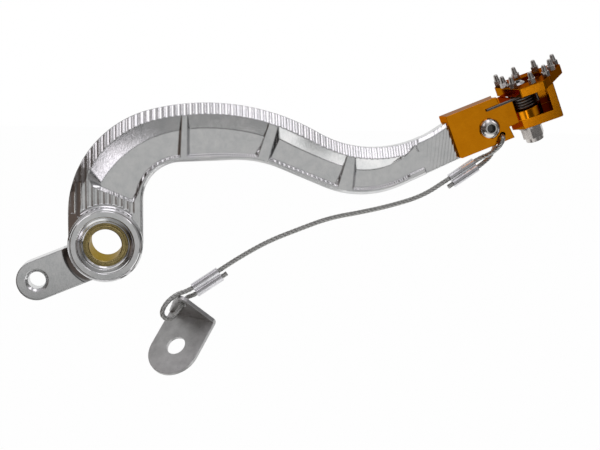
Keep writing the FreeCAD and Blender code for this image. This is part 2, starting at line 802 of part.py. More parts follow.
# The plain end, faced down to the thickness that goes into the block.
arm_mid_y = (front_y + back_y) / 2
half_tenon = size("tenon_thick") / 2
plain = size("plain_length")
end_high = 60.0
face_off = []
for y0, y1, start in (
    (front_y - 1, arm_mid_y - half_tenon, plain),
    (arm_mid_y + half_tenon, back_y + 1, plain - 5),
):
    box = Part.makeBox(start + size("tenon_length") + 5, y1 - y0, end_high, V(-start, y0, -end_high / 3))
    box.Placement = slope_place.multiply(box.Placement)
    face_off.append(box)
end_tool = doc.addObject("Part::Feature", "end_tool")
end_tool.Shape = Part.makeCompound(face_off)

tools = doc.addObject("Part::Feature", "screw_tool")
screw_r = size("bolt_thread") / 2 + 0.15
screw_hole = Part.makeCylinder(screw_r, 40, V(size("bolt_x"), 20, size("bolt_z")), V(0, -1, 0))
screw_hole.Placement = slope_place.multiply(screw_hole.Placement)
tools.Shape = screw_hole

# A hollow runs round the hub where it stands out of the arm's face.
cove_r = size("cove")
cove_low = front_y + 0.5
bend = cove_r * (1 - math.sqrt(0.5))
cove_face = Part.Face(
    Part.Wire(
        [
            Part.makeLine(V(hub_r - 0.5, cove_low, 0), V(hub_r - 0.5, front_y - cove_r, 0)),
            Part.makeLine(V(hub_r - 0.5, front_y - cove_r, 0), V(hub_r, front_y - cove_r, 0)),
            Part.Arc(
                V(hub_r, front_y - cove_r, 0),
                V(hub_r + bend, front_y - bend, 0),
                V(hub_r + cove_r, front_y, 0),
            ).toShape(),
            Part.makeLine(V(hub_r + cove_r, front_y, 0), V(hub_r + cove_r, cove_low, 0)),
            Part.makeLine(V(hub_r + cove_r, cove_low, 0), V(hub_r - 0.5, cove_low, 0)),
        ]
    )
)
cove_ring = cove_face.revolve(V(0, 0, 0), V(0, 1, 0), 360)
cove_reach = Part.makeBox(
    2 * hub_r - 2 * band_w, 2 * hub_r, 2 * hub_r, V(-hub_r + band_w, front_y - hub_r, 0)
)
hub_cove = doc.addObject("Part::Feature", "hub_cove")
hub_cove.Shape = cove_ring.common(cove_reach)
coved_arm = doc.addObject("Part::Fuse", "coved_arm")
coved_arm.Base = arm
coved_arm.Tool = hub_cove
doc.recompute()

pedal_arm = doc.addObject("Part::Cut", "pedal_arm")
pedal_arm.Base = coved_arm
cutters = doc.addObject("Part::Compound", "arm_cutters")
cutters.Links = [pocket_tool, end_tool, tools, flute_tool]
pedal_arm.Tool = cutters
pedal_arm.Label = "pedal_arm"
doc.recompute()

# The bush, turned, with chamfered ends.
bush = new_body("pivot_bush_body")
bush_sketch = new_sketch(bush, "bush_sketch", "XY_Plane")
bore_r = size("bush_bore") / 2
half_bush = size("bush_length") / 2
lip = size("bush_lip")
ring = [
    (bore_r, -half_bush + lip),
    (bore_r + lip, -half_bush),
    (bush_r - lip, -half_bush),
    (bush_r, -half_bush + lip),
    (bush_r, half_bush - lip),
    (bush_r - lip, half_bush),
    (bore_r + lip, half_bush),
    (bore_r, half_bush - lip),
]
add_edges(bush_sketch, [segment(ring[i], ring[(i + 1) % 8]) for i in range(8)])
bush_turned = bush.newObject("PartDesign::Revolution", "bush_turned")
bush_turned.Profile = bush_sketch
bush_turned.ReferenceAxis = (bush_sketch, ["V_Axis"])
bush_turned.Angle = 360
bush.Label = "pivot_bush"
doc.recompute()

# The toe pivot's frame: z up the bolt, x forward, y inboard, origin at the plate's top.
tilt = Rotation(V(0, 1, 0), -size("pivot_tilt"))
lean = Rotation(V(1, 0, 0), size("pivot_lean"))
pivot_at = V(size("pivot_x"), size("pivot_y"), size("pivot_z"))
pivot_place = Placement(pivot_at, tilt.multiply(lean))
toe_place = pivot_place.multiply(Placement(V(0, 0, 0), Rotation(V(0, 0, 1), -size("toe_turn"))))
play = size("pin_play")
pin_r = size("pin") / 2
plate = size("plate_thick")
jaw_top = -plate - size("window_drop")
tongue_low = jaw_top + size("tongue_gap")
tongue_high = tongue_low + size("tongue_thick")

# The block: a channel over the arm's end, scooped round the toe pivot, with a tongue.
block = new_body("block_body")
block_sketch = new_sketch(block, "block_sketch", "XZ_Plane", "-dims.tenon_thick / 2 - dims.block_cheek - dims.slot_gap")
block_thick = size("tenon_thick") + 2 * size("block_cheek") + 2 * size("slot_gap")
run = size("block_run")
high = size("block_height")
soft_r = size("block_soft")
add_edges(
    block_sketch,
    rounded_polygon([(0, 0), (run, 0), (run, high), (0, high)], [soft_r, 0, 0, 0.6]),
)
block_pad = pad(block, block_sketch, "block_pad", "dims.tenon_thick + 2 * dims.block_cheek + 2 * dims.slot_gap")
block.Placement = Placement(V(heel.x, arm_mid_y, heel.z), slope_turn)
doc.recompute()

slot_half = half_tenon + size("slot_gap")
gap = size("slot_clear")
slot_profile = [
    segment((-1, -5), (tenon_mid, -5)),
    segment((tenon_mid, -5), (tenon_mid, -gap)),
    arc3((tenon_mid, -gap), (size("tenon_length") + gap, tenon_r), (tenon_mid, 2 * tenon_r + gap)),
    segment((tenon_mid, 2 * tenon_r + gap), (-1, 2 * tenon_r + gap)),
    segment((-1, 2 * tenon_r + gap), (-1, -5)),
]
slot_sketch = new_sketch(block, "slot_sketch", "XZ_Plane", "dims.tenon_thick / 2 + dims.slot_gap")
add_edges(slot_sketch, slot_profile)
slot = pocket(block, slot_sketch, "slot", "dims.tenon_thick + 2 * dims.slot_gap")
doc.recompute()
holes_sketch = new_sketch(block, "holes_sketch", "XZ_Plane", "dims.tenon_thick / 2 + dims.block_cheek + dims.slot_gap")
add_circle(holes_sketch, size("bolt_x"), size("bolt_z"), "dims.bolt_thread / 2 + 0.1", size("bolt_thread") / 2 + 0.1)
add_circle(holes_sketch, size("eye_x"), size("eye_z"), "dims.eye_hole / 2", size("eye_hole") / 2)
block_holes = pocket(block, holes_sketch, "block_holes", "dims.tenon_thick + 2 * dims.block_cheek + 2 * dims.slot_gap")
doc.recompute()

# Round the toe pivot the block is scooped out above and below its root. The root
# keeps the window's height and has a round room for the spring above the tongue.
root_high = -plate - size("root_gap")
scoop_r = size("scoop_radius")
upper_scoop = Part.makeCylinder(scoop_r, 40, V(0, 0, root_high))
lower_scoop = Part.makeCylinder(scoop_r, 40, V(0, 0, tongue_low - 40))
spring_room = Part.makeCylinder(size("spring_room"), root_high - tongue_high + 1, V(0, 0, tongue_high))
scoop = doc.addObject("Part::Feature", "scoop")
scoop.Shape = Part.makeCompound([upper_scoop, lower_scoop])
scoop.Placement = pivot_place
scooped = doc.addObject("Part::Cut", "scooped_block")
scooped.Base = block
scooped.Tool = scoop
doc.recompute()
root_plan = Part.Wire(
    [
        Part.makeLine(V(-scoop_r - 9, 11, 0), V(-scoop_r - 9, -11, 0)),
        Part.makeLine(V(-scoop_r - 9, -11, 0), V(-scoop_r - 0.6, -11, 0)),
        Part.Arc(V(-scoop_r - 0.6, -11, 0), V(-scoop_r + 2.6, -5.6, 0), V(-scoop_r + 5.8, -1.5, 0)).toShape(),
        Part.makeLine(V(-scoop_r + 5.8, -1.5, 0), V(-scoop_r + 7.2, 11, 0)),
        Part.makeLine(V(-scoop_r + 7.2, 11, 0), V(-scoop_r - 9, 11, 0)),
    ]
)
root_plan.translate(V(0, 0, tongue_low))
root = Part.Face(root_plan).extrude(V(0, 0, root_high - tongue_low)).cut(spring_room)
root.Placement = pivot_place.multiply(root.Placement)
tenon_clear = size("tenon_length") + gap + 0.1
cheeks = Part.makeBox(40, block_thick, high + 20, V(tenon_clear, -block_thick / 2, -10))
cheeks.Placement = Placement(V(heel.x, arm_mid_y, heel.z), slope_turn).multiply(cheeks.Placement)
block_root = doc.addObject("Part::Feature", "block_root")
block_root.Shape = root.common(cheeks)

tongue = new_body("tongue_body")
tongue_sketch = new_sketch(tongue, "tongue_sketch", "XY_Plane", f"{tongue_low}")
tongue_r = size("tongue_radius")
block_front = arm_mid_y - half_tenon - size("block_cheek")
block_back = arm_mid_y + half_tenon + size("block_cheek")
mid_height = (tongue_low + tongue_high) / 2
axis_y = pivot_place.multVec(V(0, 0, mid_height)).y
root_front = size("root_front")
root_back = block_back - axis_y - 0.9
root_x = -size("scoop_radius") - 2.0
touch_front = (-math.sqrt(tongue_r ** 2 - root_front ** 2), root_front)
touch_back = (-math.sqrt(tongue_r ** 2 - root_back ** 2), root_back)
add_edges(
    tongue_sketch,
    [
        segment((root_x, root_back), (root_x, root_front)),
        segment((root_x, root_front), touch_front),
        arc3(touch_front, (tongue_r, 0), touch_back),
        segment(touch_back, (root_x, root_back)),
    ],
)
tongue_pad = pad(tongue, tongue_sketch, "tongue_pad", "dims.tongue_thick")
doc.recompute()
tongue_bore_sketch = new_sketch(tongue, "tongue_bore_sketch", "XY_Plane", f"{tongue_high}")
add_circle(tongue_bore_sketch, 0, 0, "dims.pin / 2 + dims.pin_play", pin_r + play)
tongue_bore = pocket(tongue, tongue_bore_sketch, "tongue_bore", "dims.tongue_thick")
tongue.Placement = pivot_place
doc.recompute()
toe_end = doc.addObject("Part::Fuse", "toe_end")
toe_end.Base = block_root
toe_end.Tool = tongue
tip_block = doc.addObject("Part::Fuse", "tip_block")
tip_block.Base = scooped
tip_block.Tool = toe_end
tip_block.Refine = True
tip_block.Label = "tip_block"
doc.recompute()

# The clamp screw: button head with a hexagon socket, shank through both cheeks.
screw = new_body("block_bolt_body")
screw_sketch = new_sketch(screw, "screw_sketch", "XY_Plane")
head_r = size("bolt_head") / 2
head_h = size("bolt_head_high")
thread_r = size("bolt_thread") / 2
shank = block_thick
add_edges(
    screw_sketch,
    [
        segment((0, shank), (thread_r - 0.5, shank)),
        segment((thread_r - 0.5, shank), (thread_r, shank - 0.5)),
        segment((thread_r, shank - 0.5), (thread_r, 0)),
        segment((thread_r, 0), (head_r, 0)),
        segment((head_r, 0), (head_r, -0.7)),
        arc3((head_r, -0.7), (head_r * 0.80, -head_h * 0.72), (head_r * 0.52, -head_h)),
        segment((head_r * 0.52, -head_h), (0, -head_h)),
        segment((0, -head_h), (0, shank)),
    ],
)
screw_turned = screw.newObject("PartDesign::Revolution", "screw_turned")
screw_turned.Profile = screw_sketch
screw_turned.ReferenceAxis = (screw_sketch, ["V_Axis"])
screw_turned.Angle = 360
doc.recompute()
socket_sketch = new_sketch(screw, "socket_sketch", "XZ_Plane", "dims.bolt_head_high")
add_edges(socket_sketch, rounded_polygon(hexagon(size("bolt_socket"), 12), [0] * 6))
socket_cut = pocket(screw, socket_sketch, "socket", "0.7 * dims.bolt_head_high")
screw.Placement = slope_place.multiply(
    Placement(V(size("bolt_x"), arm_mid_y - shank / 2, size("bolt_z")), Rotation())
)
screw.Label = "block_bolt"
doc.recompute()

# The toe piece: plate, upright and lower jaw in one, open at the window.
toe = new_body("toe_body")
middle = size("plate_offset")
plate_sketch = new_sketch(toe, "plate_sketch", "XY_Plane", "-dims.plate_thick")
nose = size("plate_nose")
half_w = size("plate_half")
tail = size("plate_tail")
plate_points = [
    (middle - nose, -size("plate_front")),
    (middle + nose, -size("plate_front")),
    (middle + half_w, size("plate_mid")),
    (middle + tail, size("plate_back")),
    (middle - tail, size("plate_back")),
    (middle - half_w, size("plate_mid")),
]
add_edges(plate_sketch, rounded_polygon(plate_points, [1.0, 1.0, 1.2, 2.0, 2.0, 1.2]))
plate_pad = pad(toe, plate_sketch, "plate_pad", "dims.plate_thick")
doc.recompute()
web_sketch = new_sketch(toe, "web_sketch", "XZ_Plane", "-dims.jaw_back")
jaw_low = jaw_top - size("jaw_thick")
web_in = size("web_inner")
web_out = web_in + size("web_thick")
jaw_rear = -size("jaw_tail")
add_edges(
    web_sketch,
    rounded_polygon(
        [
            (web_in, -plate),
            (web_out, -plate),
            (web_out, jaw_low),
            (jaw_rear, jaw_low),
            (jaw_rear, jaw_top),
            (web_in, jaw_top),
        ],
        [0, 0, 0.8, 0, 0, 0],
    ),
)
web_pad = pad(toe, web_sketch, "web_pad", "dims.jaw_back + dims.jaw_front")
doc.recompute()
wall_sketch = new_sketch(toe, "wall_sketch", "XZ_Plane", "-dims.jaw_back")
add_edges(
    wall_sketch,
    rounded_polygon(
        [
            (-size("wall_reach"), -plate),
            (web_out, -plate),
            (web_out, jaw_low),
            (-size("wall_reach"), jaw_low),
        ],
        [0, 0, 0.8, 0],
    ),
)
wall_pad = pad(toe, wall_sketch, "wall_pad", "dims.wall_thick")
doc.recompute()
# The jaw's rear corners are cut off, like the plate's, so that it turns clear of the block.
nip = size("jaw_nip")
nip_sketch = new_sketch(toe, "nip_sketch", "XY_Plane", f"{jaw_top + 0.01}")
jaw_f = -size("jaw_front")
jaw_b = size("jaw_back")
add_edges(
    nip_sketch,
    rounded_polygon([(jaw_rear - 1, jaw_f - 1), (jaw_rear + nip + 1.2, jaw_f - 1), (jaw_rear - 1, jaw_f + nip + 1)], [0, 0, 0])
    + rounded_polygon([(jaw_rear - 1, jaw_b + 1), (jaw_rear - 1, jaw_b - nip - 4), (-size("wall_reach"), jaw_b + 1)], [0, 0, 0]),
)
nip_cut = pocket(toe, nip_sketch, "nip", "dims.jaw_thick + 1")
doc.recompute()
well_sketch = new_sketch(toe, "well_sketch", "XY_Plane")
well_r = size("pin_head") / 2 + 0.4
add_edges(
    well_sketch,
    rounded_polygon(
        [
            (-well_r, -0.4 * well_r),
            (-0.35 * well_r, -well_r - 0.3),
            (middle + 3.6, -well_r - 0.9),
            (middle + 7.0, -0.5),
            (middle + 6.0, well_r + 2.6),
            (-0.6 * well_r, well_r + 2.6),
            (-well_r, 0.8 * well_r),
        ],
        [0.8, 0.8, 1.2, 1.2, 1.2, 1.0, 0.8],
    ),
)
well = pocket(toe, well_sketch, "well", "dims.head_well")
doc.recompute()
toe_bore_sketch = new_sketch(toe, "toe_bore_sketch", "XY_Plane", "1")
add_circle(toe_bore_sketch, 0, 0, "dims.pin / 2 + dims.pin_play", pin_r + play)
toe_bore = pocket(toe, toe_bore_sketch, "toe_bore", "dims.plate_thick + dims.window_drop + dims.jaw_thick + 2")
doc.recompute()

# The studs stand round the plate's edge and along its back.
stud_spots = [
    (1.0, 2.6),
    (-8.6, 6.6),
    (8.6, 6.6),
    (-12.6, 13.65),
    (12.6, 13.65),
    (-15.2, 21.2),
    (15.2, 21.2),
    (-5.3, 23.4),
    (5.3, 23.4),
]
stud_at = [(middle + x, y - size("plate_front")) for x, y in stud_spots]
stud_sketch = new_sketch(toe, "stud_sketch", "XY_Plane")
for x, y in stud_at:
    add_circle(stud_sketch, x, y, "dims.stud_shank / 2 + 0.05", size("stud_shank") / 2 + 0.05)
stud_holes = pocket(toe, stud_sketch, "stud_holes", "dims.stud_deep + 0.2")
doc.recompute()
# A blind hole under the plate takes the spring's upper end.
catch_angle = math.radians(size("catch_angle"))
coil_r = size("coil_radius")
catch_r = coil_r + size("wire") + 0.15
catch = (catch_r * math.cos(catch_angle), catch_r * math.sin(catch_angle))
catch_sketch = new_sketch(toe, "catch_sketch", "XY_Plane", "dims.catch_deep - dims.plate_thick")
turned = Rotation(V(0, 0, 1), size("toe_turn")).multVec(V(catch[0], catch[1], 0))
add_circle(catch_sketch, turned.x, turned.y, "dims.wire / 2 + 0.25", size("wire") / 2 + 0.25)
catch_cut = pocket(toe, catch_sketch, "catch", "dims.catch_deep + 0.1")
toe.Placement = toe_place
toe.Label = "toe_piece"
doc.recompute()

# Studs: hexagon, tapered point, shank in the plate.
for number, (x, y) in enumerate(stud_at, start=1):
    stud = new_body(f"stud_body_{number:02d}")
    hex_sketch = new_sketch(stud, f"stud_hex_{number:02d}", "XY_Plane")
    add_edges(hex_sketch, rounded_polygon(hexagon(size("stud_flats"), 15.0 * number), [0] * 6))
    hex_pad = pad(stud, hex_sketch, f"stud_pad_{number:02d}", "dims.stud_base")
    doc.recompute()
    turn_sketch = new_sketch(stud, f"stud_turn_{number:02d}", "XZ_Plane")
    base_h = size("stud_base")
    point_h = size("stud_point")
    deep = size("stud_deep")
    foot = size("stud_foot")
    top_r = size("stud_top")
    shank_r = size("stud_shank") / 2
    add_edges(
        turn_sketch,
        [
            segment((0, -deep), (shank_r, -deep)),
            segment((shank_r, -deep), (shank_r, base_h / 2)),
            segment((shank_r, base_h / 2), (foot, base_h)),
            segment((foot, base_h), (top_r, base_h + point_h - 0.3)),
            segment((top_r, base_h + point_h - 0.3), (top_r - 0.3, base_h + point_h)),
            segment((top_r - 0.3, base_h + point_h), (0, base_h + point_h)),
            segment((0, base_h + point_h), (0, -deep)),
        ],
    )
    stud_turned = stud.newObject("PartDesign::Revolution", f"stud_turned_{number:02d}")
    stud_turned.Profile = turn_sketch
    stud_turned.ReferenceAxis = (turn_sketch, ["V_Axis"])
    stud_turned.Angle = 360
    stud.Placement = toe_place.multiply(Placement(V(x, y, 0), Rotation()))
    stud.Label = f"stud_{number:02d}"
doc.recompute()

# The toe bolt: low head in the well, shank down through tongue and jaw to the nut.
pin_body = new_body("toe_bolt_body")
pin_sketch = new_sketch(pin_body, "pin_sketch", "XZ_Plane")
well_floor = -size("head_well")
pin_head_r = size("pin_head") / 2
pin_head_top = well_floor + size("pin_head_high")
washer_top = jaw_low
washer_low = washer_top - size("washer_thick")
nut_low = washer_low - size("nut_high") - size("collar_high")
pin_end = nut_low - 0.8
add_edges(
    pin_sketch,
    [
        segment((0, pin_end), (pin_r - 0.6, pin_end)),
        segment((pin_r - 0.6, pin_end), (pin_r, pin_end + 0.6)),
        segment((pin_r, pin_end + 0.6), (pin_r, well_floor)),
        segment((pin_r, well_floor), (pin_head_r, well_floor)),
        segment((pin_head_r, well_floor), (pin_head_r, pin_head_top - 1.0)),
        segment((pin_head_r, pin_head_top - 1.0), (pin_head_r - 1.2, pin_head_top)),
        segment((pin_head_r - 1.2, pin_head_top), (0, pin_head_top)),
        segment((0, pin_head_top), (0, pin_end)),
    ],
)
pin_turned = pin_body.newObject("PartDesign::Revolution", "pin_turned")
pin_turned.Profile = pin_sketch
pin_turned.ReferenceAxis = (pin_sketch, ["V_Axis"])
pin_turned.Angle = 360
doc.recompute()
pin_socket_sketch = new_sketch(pin_body, "pin_socket_sketch", "XY_Plane", f"{pin_head_top}")
add_edges(pin_socket_sketch, rounded_polygon(hexagon(size("pin_socket")), [0] * 6))
pin_socket = pocket(pin_body, pin_socket_sketch, "pin_socket_cut", "0.7 * dims.pin_head_high")
pin_body.Placement = toe_place
pin_body.Label = "toe_bolt"
doc.recompute()

washer = new_body("nut_washer_body")
washer_sketch = new_sketch(washer, "washer_sketch", "XY_Plane", f"{washer_low}")
add_circle(washer_sketch, 0, 0, "dims.washer_outer / 2", size("washer_outer") / 2)
add_circle(washer_sketch, 0, 0, "dims.pin / 2 + dims.pin_play", pin_r + play)
washer_pad = pad(washer, washer_sketch, "washer_pad", "dims.washer_thick")
washer.Placement = toe_place
washer.Label = "nut_washer"
doc.recompute()

nut = new_body("lock_nut_body")
nut_sketch = new_sketch(nut, "nut_sketch", "XY_Plane", f"{washer_low - size('nut_high')}")
add_edges(nut_sketch, rounded_polygon(hexagon(size("nut_flats"), 20), [0] * 6))
nut_pad = pad(nut, nut_sketch, "nut_pad", "dims.nut_high")
doc.recompute()
collar_sketch = new_sketch(nut, "collar_sketch", "XY_Plane", f"{nut_low}")
add_circle(collar_sketch, 0, 0, "dims.nut_flats / 2 - 0.5", size("nut_flats") / 2 - 0.5)
collar_pad = pad(nut, collar_sketch, "collar_pad", "dims.collar_high")
doc.recompute()
seat_sketch = new_sketch(nut, "seat_sketch", "XY_Plane", f"{nut_low + size('collar_high') - 0.2}")
ring_r = size("nut_flats") / 2 - 1.2
add_circle(seat_sketch, 0, 0, "dims.nut_flats / 2 - 1.2", ring_r)
seat_cut = pocket(nut, seat_sketch, "ring_seat", "dims.collar_high + 1")
doc.recompute()
nut_bore_sketch = new_sketch(nut, "nut_bore_sketch", "XY_Plane", f"{washer_low + 1}")
add_circle(nut_bore_sketch, 0, 0, "dims.pin / 2", pin_r)
nut_bore = pocket(nut, nut_bore_sketch, "nut_bore", "dims.nut_high + dims.collar_high + 2")
nut.Placement = toe_place
nut.Label = "lock_nut"
doc.recompute()

nylon = new_body("nut_ring_body")
nylon_sketch = new_sketch(nylon, "nylon_sketch", "XY_Plane", f"{nut_low + 0.3}")
add_circle(nylon_sketch, 0, 0, "dims.nut_flats / 2 - 1.2", ring_r)
add_circle(nylon_sketch, 0, 0, "dims.pin / 2", pin_r)
nylon_pad = pad(nylon, nylon_sketch, "nylon_pad", "dims.collar_high - 0.5")
nylon.Placement = toe_place
nylon.Label = "nut_ring"
doc.recompute()

# The sleeve stands on the tongue inside the spring.
sleeve = new_body("spring_sleeve_body")
sleeve_sketch = new_sketch(sleeve, "sleeve_sketch", "XY_Plane", f"{tongue_high}")
add_circle(sleeve_sketch, 0, 0, "dims.pin / 2 + dims.pin_play + dims.sleeve_wall", pin_r + play + size("sleeve_wall"))
add_circle(sleeve_sketch, 0, 0, "dims.pin / 2 + dims.pin_play", pin_r + play)
sleeve_pad = pad(sleeve, sleeve_sketch, "sleeve_pad", f"{-plate - tongue_high} - dims.sleeve_play")
sleeve.Placement = pivot_place
sleeve.Label = "spring_sleeve"
doc.recompute()

# The spring: close turns round the sleeve, one leg along the block's face, the other
# end turned up into the plate.
wire_r = size("wire") / 2
coil_play = size("coil_play")
coil_low = tongue_high + wire_r + coil_play
coil_top = -plate - wire_r - size("coil_head")
face_y = arm_mid_y - shank / 2 - wire_r - coil_play
leg_y = (face_y - size("pivot_y") + coil_top * math.sin(math.radians(size("pivot_lean")))) / math.cos(
    math.radians(size("pivot_lean"))
)
edge_x = scoop_r
reach = math.hypot(edge_x, leg_y)
leg_angle = math.degrees(math.asin(-leg_y / reach) - math.asin(coil_r / reach))
start_angle = -90.0 + leg_angle
turns = size("coil_turns") + (size("catch_angle") - start_angle) / 360.0
coil_pitch = (coil_top - coil_low) / turns


def round_axis(radius, angle, height):
    return V(radius * math.cos(math.radians(angle)), radius * math.sin(math.radians(angle)), height)


# Built upwards from the leg, then turned over, so that the leg comes off the top turn.
def coil_at(angle):
    return round_axis(coil_r, angle, coil_pitch * angle / 360)


quarters = math.ceil(4 * turns)
step = 360 * turns / quarters
coils = [
    Part.Arc(coil_at(i * step), coil_at((i + 0.5) * step), coil_at((i + 1) * step)).toShape()
    for i in range(quarters)
]
leg_run = coils[0].tangentAt(coils[0].FirstParameter)
leg_tip = V(coil_r, 0, 0) - leg_run * size("leg_length")
spring_path = Part.Wire([Part.makeLine(leg_tip, V(coil_r, 0, 0))] + coils)
wire_ring = Part.Wire(Part.makeCircle(wire_r, leg_tip, leg_run))
coil = spring_path.makePipeShell([wire_ring], True, False)
end_angle = 360.0 * turns
end_high = coil_pitch * turns
foot_from = round_axis(coil_r, end_angle, end_high)
foot_to = round_axis(catch_r, end_angle, end_high)
foot = Part.makeCylinder(wire_r, (foot_to - foot_from).Length, foot_from, foot_to - foot_from)
post_high = -plate + size("catch_deep") - 0.3 - coil_low
post = Part.makeCylinder(wire_r, post_high, foot_to, V(0, 0, -1))
elbows = [Part.makeSphere(wire_r, foot_from), Part.makeSphere(wire_r, foot_to)]
spring_shape = coil.fuse([foot.fuse([post, elbows[1]]), elbows[0]])
spring_shape = spring_shape.mirror(V(0, 0, 0), V(0, 0, 1))
spring = doc.addObject("Part::Feature", "return_spring")
spring.Shape = spring_shape
spring.Placement = pivot_place.multiply(
    Placement(V(0, 0, coil_top), Rotation(V(0, 0, 1), start_angle))
)
spring.Label = "return_spring"

# The rope's two crimp ferrules, each with a barrel for either strand.
upper_at = V(185.3, -3.0, 37.0)
upper_slope = 34.3
lower_at = V(51.1, -3.0, -20.5)
lower_slope = 33.5
rope_r = size("rope") / 2
spacing = size("barrel_spacing") / 2


def ferrule(label, centre, angle):
    """Two parallel barrels with the valley between them filled, bored for both strands."""
    length = size("ferrule_length")
    radius = size("barrel_radius")
    bore_radius = rope_r + size("rope_play")
    body = new_body(label + "_body")
    outline = new_sketch(body, label + "_outline", "YZ_Plane", "-dims.ferrule_length / 2")
    waist = radius * 0.72
    lift = math.sqrt(radius ** 2 - waist ** 2)
    add_edges(
        outline,
        [
            arc3((-waist, spacing - lift), (0, spacing + radius), (waist, spacing - lift)),
            segment((waist, spacing - lift), (waist, -spacing + lift)),
            arc3((waist, -spacing + lift), (0, -spacing - radius), (-waist, -spacing + lift)),
            segment((-waist, -spacing + lift), (-waist, spacing - lift)),
        ],
    )
    pad(body, outline, label + "_pad", "dims.ferrule_length")
    doc.recompute()
    bores = new_sketch(body, label + "_bores", "YZ_Plane", "dims.ferrule_length / 2")
    add_circle(bores, 0, spacing, "dims.rope / 2 + dims.rope_play", bore_radius)
    add_circle(bores, 0, -spacing, "dims.rope / 2 + dims.rope_play", bore_radius)
    pocket(body, bores, label + "_bored", "dims.ferrule_length")
    body.Placement = Placement(centre, Rotation(V(0, 1, 0), -angle))
    body.Label = label
    doc.recompute()


ferrule("ferrule_upper", upper_at, upper_slope)
ferrule("ferrule_lower", lower_at, lower_slope)


def beside(centre, angle, along, across):
    turn = Rotation(V(0, 1, 0), -angle)
    return centre + turn.multVec(V(along, 0, across))


# The bracket: a drilled leg and a tapered ear, folded from one sheet.
width_way = V(-0.79, 0.6, 0.096)
leg_way = V(-0.472, -0.507, -0.72)
bracket_corner = V(54.3, -4.0, -42.0)
bracket_turn = Rotation(width_way, leg_way, V(0, 0, 0), "XYZ")
half_bracket = size("bracket_width") / 2
sheet_t = size("sheet_thick")
bracket_place = Placement(bracket_corner + bracket_turn.multVec(V(half_bracket, 0, 0)), bracket_turn)
bracket = new_body("bracket_body")
leg_sketch = new_sketch(bracket, "leg_sketch", "XY_Plane", "-dims.sheet_thick")
long = size("bracket_length")
add_edges(
    leg_sketch,
    [
        segment((-half_bracket, 0), (half_bracket, 0)),
        segment((half_bracket, 0), (half_bracket, long - half_bracket)),
        arc3((half_bracket, long - half_bracket), (0, long), (-half_bracket, long - half_bracket)),
        segment((-half_bracket, long - half_bracket), (-half_bracket, 0)),
    ],
)
leg_pad = pad(bracket, leg_sketch, "leg_pad", "dims.sheet_thick")
doc.recompute()
ear_sketch = new_sketch(bracket, "ear_sketch", "XZ_Plane", "0")
ear_high = size("ear_high")
add_edges(
    ear_sketch,
    rounded_polygon(
        [(-half_bracket, -sheet_t), (half_bracket, -sheet_t), (half_bracket, 1.0), (0, ear_high + 3.4), (-half_bracket, 1.0)],
        [0, 0, 1.5, size("ear_tip"), 1.5],
    ),
)
ear_pad = pad(bracket, ear_sketch, "ear_pad", "dims.sheet_thick")
doc.recompute()
fold_names = []
for i, edge in enumerate(ear_pad.Shape.Edges, start=1):
    mid = edge.valueAt((edge.FirstParameter + edge.LastParameter) / 2)
    if abs(mid.x) < 1e-3 and abs(mid.z + sheet_t) < 1e-3 and abs(mid.y + sheet_t) < 1e-3:
        fold_names.append(f"Edge{i}")
if fold_names:
    fold = bracket.newObject("PartDesign::Fillet", "fold")
    fold.Base = (ear_pad, fold_names)
    fold.setExpression("Radius", "0.9 * dims.sheet_thick")
    doc.recompute()
leg_hole_sketch = new_sketch(bracket, "leg_hole_sketch", "XY_Plane", "1")
add_circle(leg_hole_sketch, 0, size("bracket_hole_at"), "dims.bracket_hole / 2", size("bracket_hole") / 2)
leg_hole = pocket(bracket, leg_hole_sketch, "leg_hole", "dims.sheet_thick + 2")
doc.recompute()
ear_hole_sketch = new_sketch(bracket, "ear_hole_sketch", "XZ_Plane", "dims.sheet_thick + 1")
ear_hole_at = ear_high - size("ear_tip") - 1.0
add_circle(ear_hole_sketch, 0, ear_hole_at, "dims.ear_hole / 2", size("ear_hole") / 2)
ear_cut = pocket(bracket, ear_hole_sketch, "ear_cut", "dims.sheet_thick + 2")
bracket.Placement = bracket_place
bracket.Label = "frame_bracket"
doc.recompute()

# The rope: dead end, back of the block, through its hole, down the front, along the
# span, through the ear of the bracket and back to the second ferrule.
eye_front = on_slope(size("eye_x"), size("eye_z"), 0)
ear_mid = bracket_place.multVec(V(0, -sheet_t / 2, ear_hole_at))
ear_way = bracket_turn.multVec(V(0, 1, 0))
half_f = size("ferrule_length") / 2
tail_end = half_f + size("rope_tail")
mouth = half_f + size("rope_lead")
route = [
    beside(upper_at, upper_slope, -tail_end, -spacing),
    beside(upper_at, upper_slope, mouth, -spacing),
    V(201.0, 0.6, 45.4),
    V(205.2, 5.2, 51.0),
    V(eye_front.x, 6.8, eye_front.z),
    V(eye_front.x, -12.8, eye_front.z),
    V(201.7, -12.0, 51.9),
    V(198.3, -7.6, 47.6),
    beside(upper_at, upper_slope, mouth, spacing),
    beside(upper_at, upper_slope, -half_f - 1.0, spacing),
    V(163.5, -3.2, 24.6),
    V(147.0, -3.4, 19.6),
    V(131.0, -3.4, 16.0),
    V(114.0, -3.4, 13.0),
    V(98.0, -3.3, 7.0),
    V(82.5, -3.2, 0.9),
    V(68.5, -3.0, -7.0),
    beside(lower_at, lower_slope, half_f + 1.0, spacing),
    beside(lower_at, lower_slope, -mouth, spacing),
    V(35.2, -6.4, -26.0),
    V(29.6, -10.0, -30.0),
    V(27.2, -11.4, -35.6),
    V(31.7, -9.2, -39.2),
    ear_mid + ear_way * 5.0,
    ear_mid - ear_way * 3.6,
    beside(lower_at, lower_slope, -half_f - 2.2, -spacing),
    beside(lower_at, lower_slope, tail_end, -spacing),
]


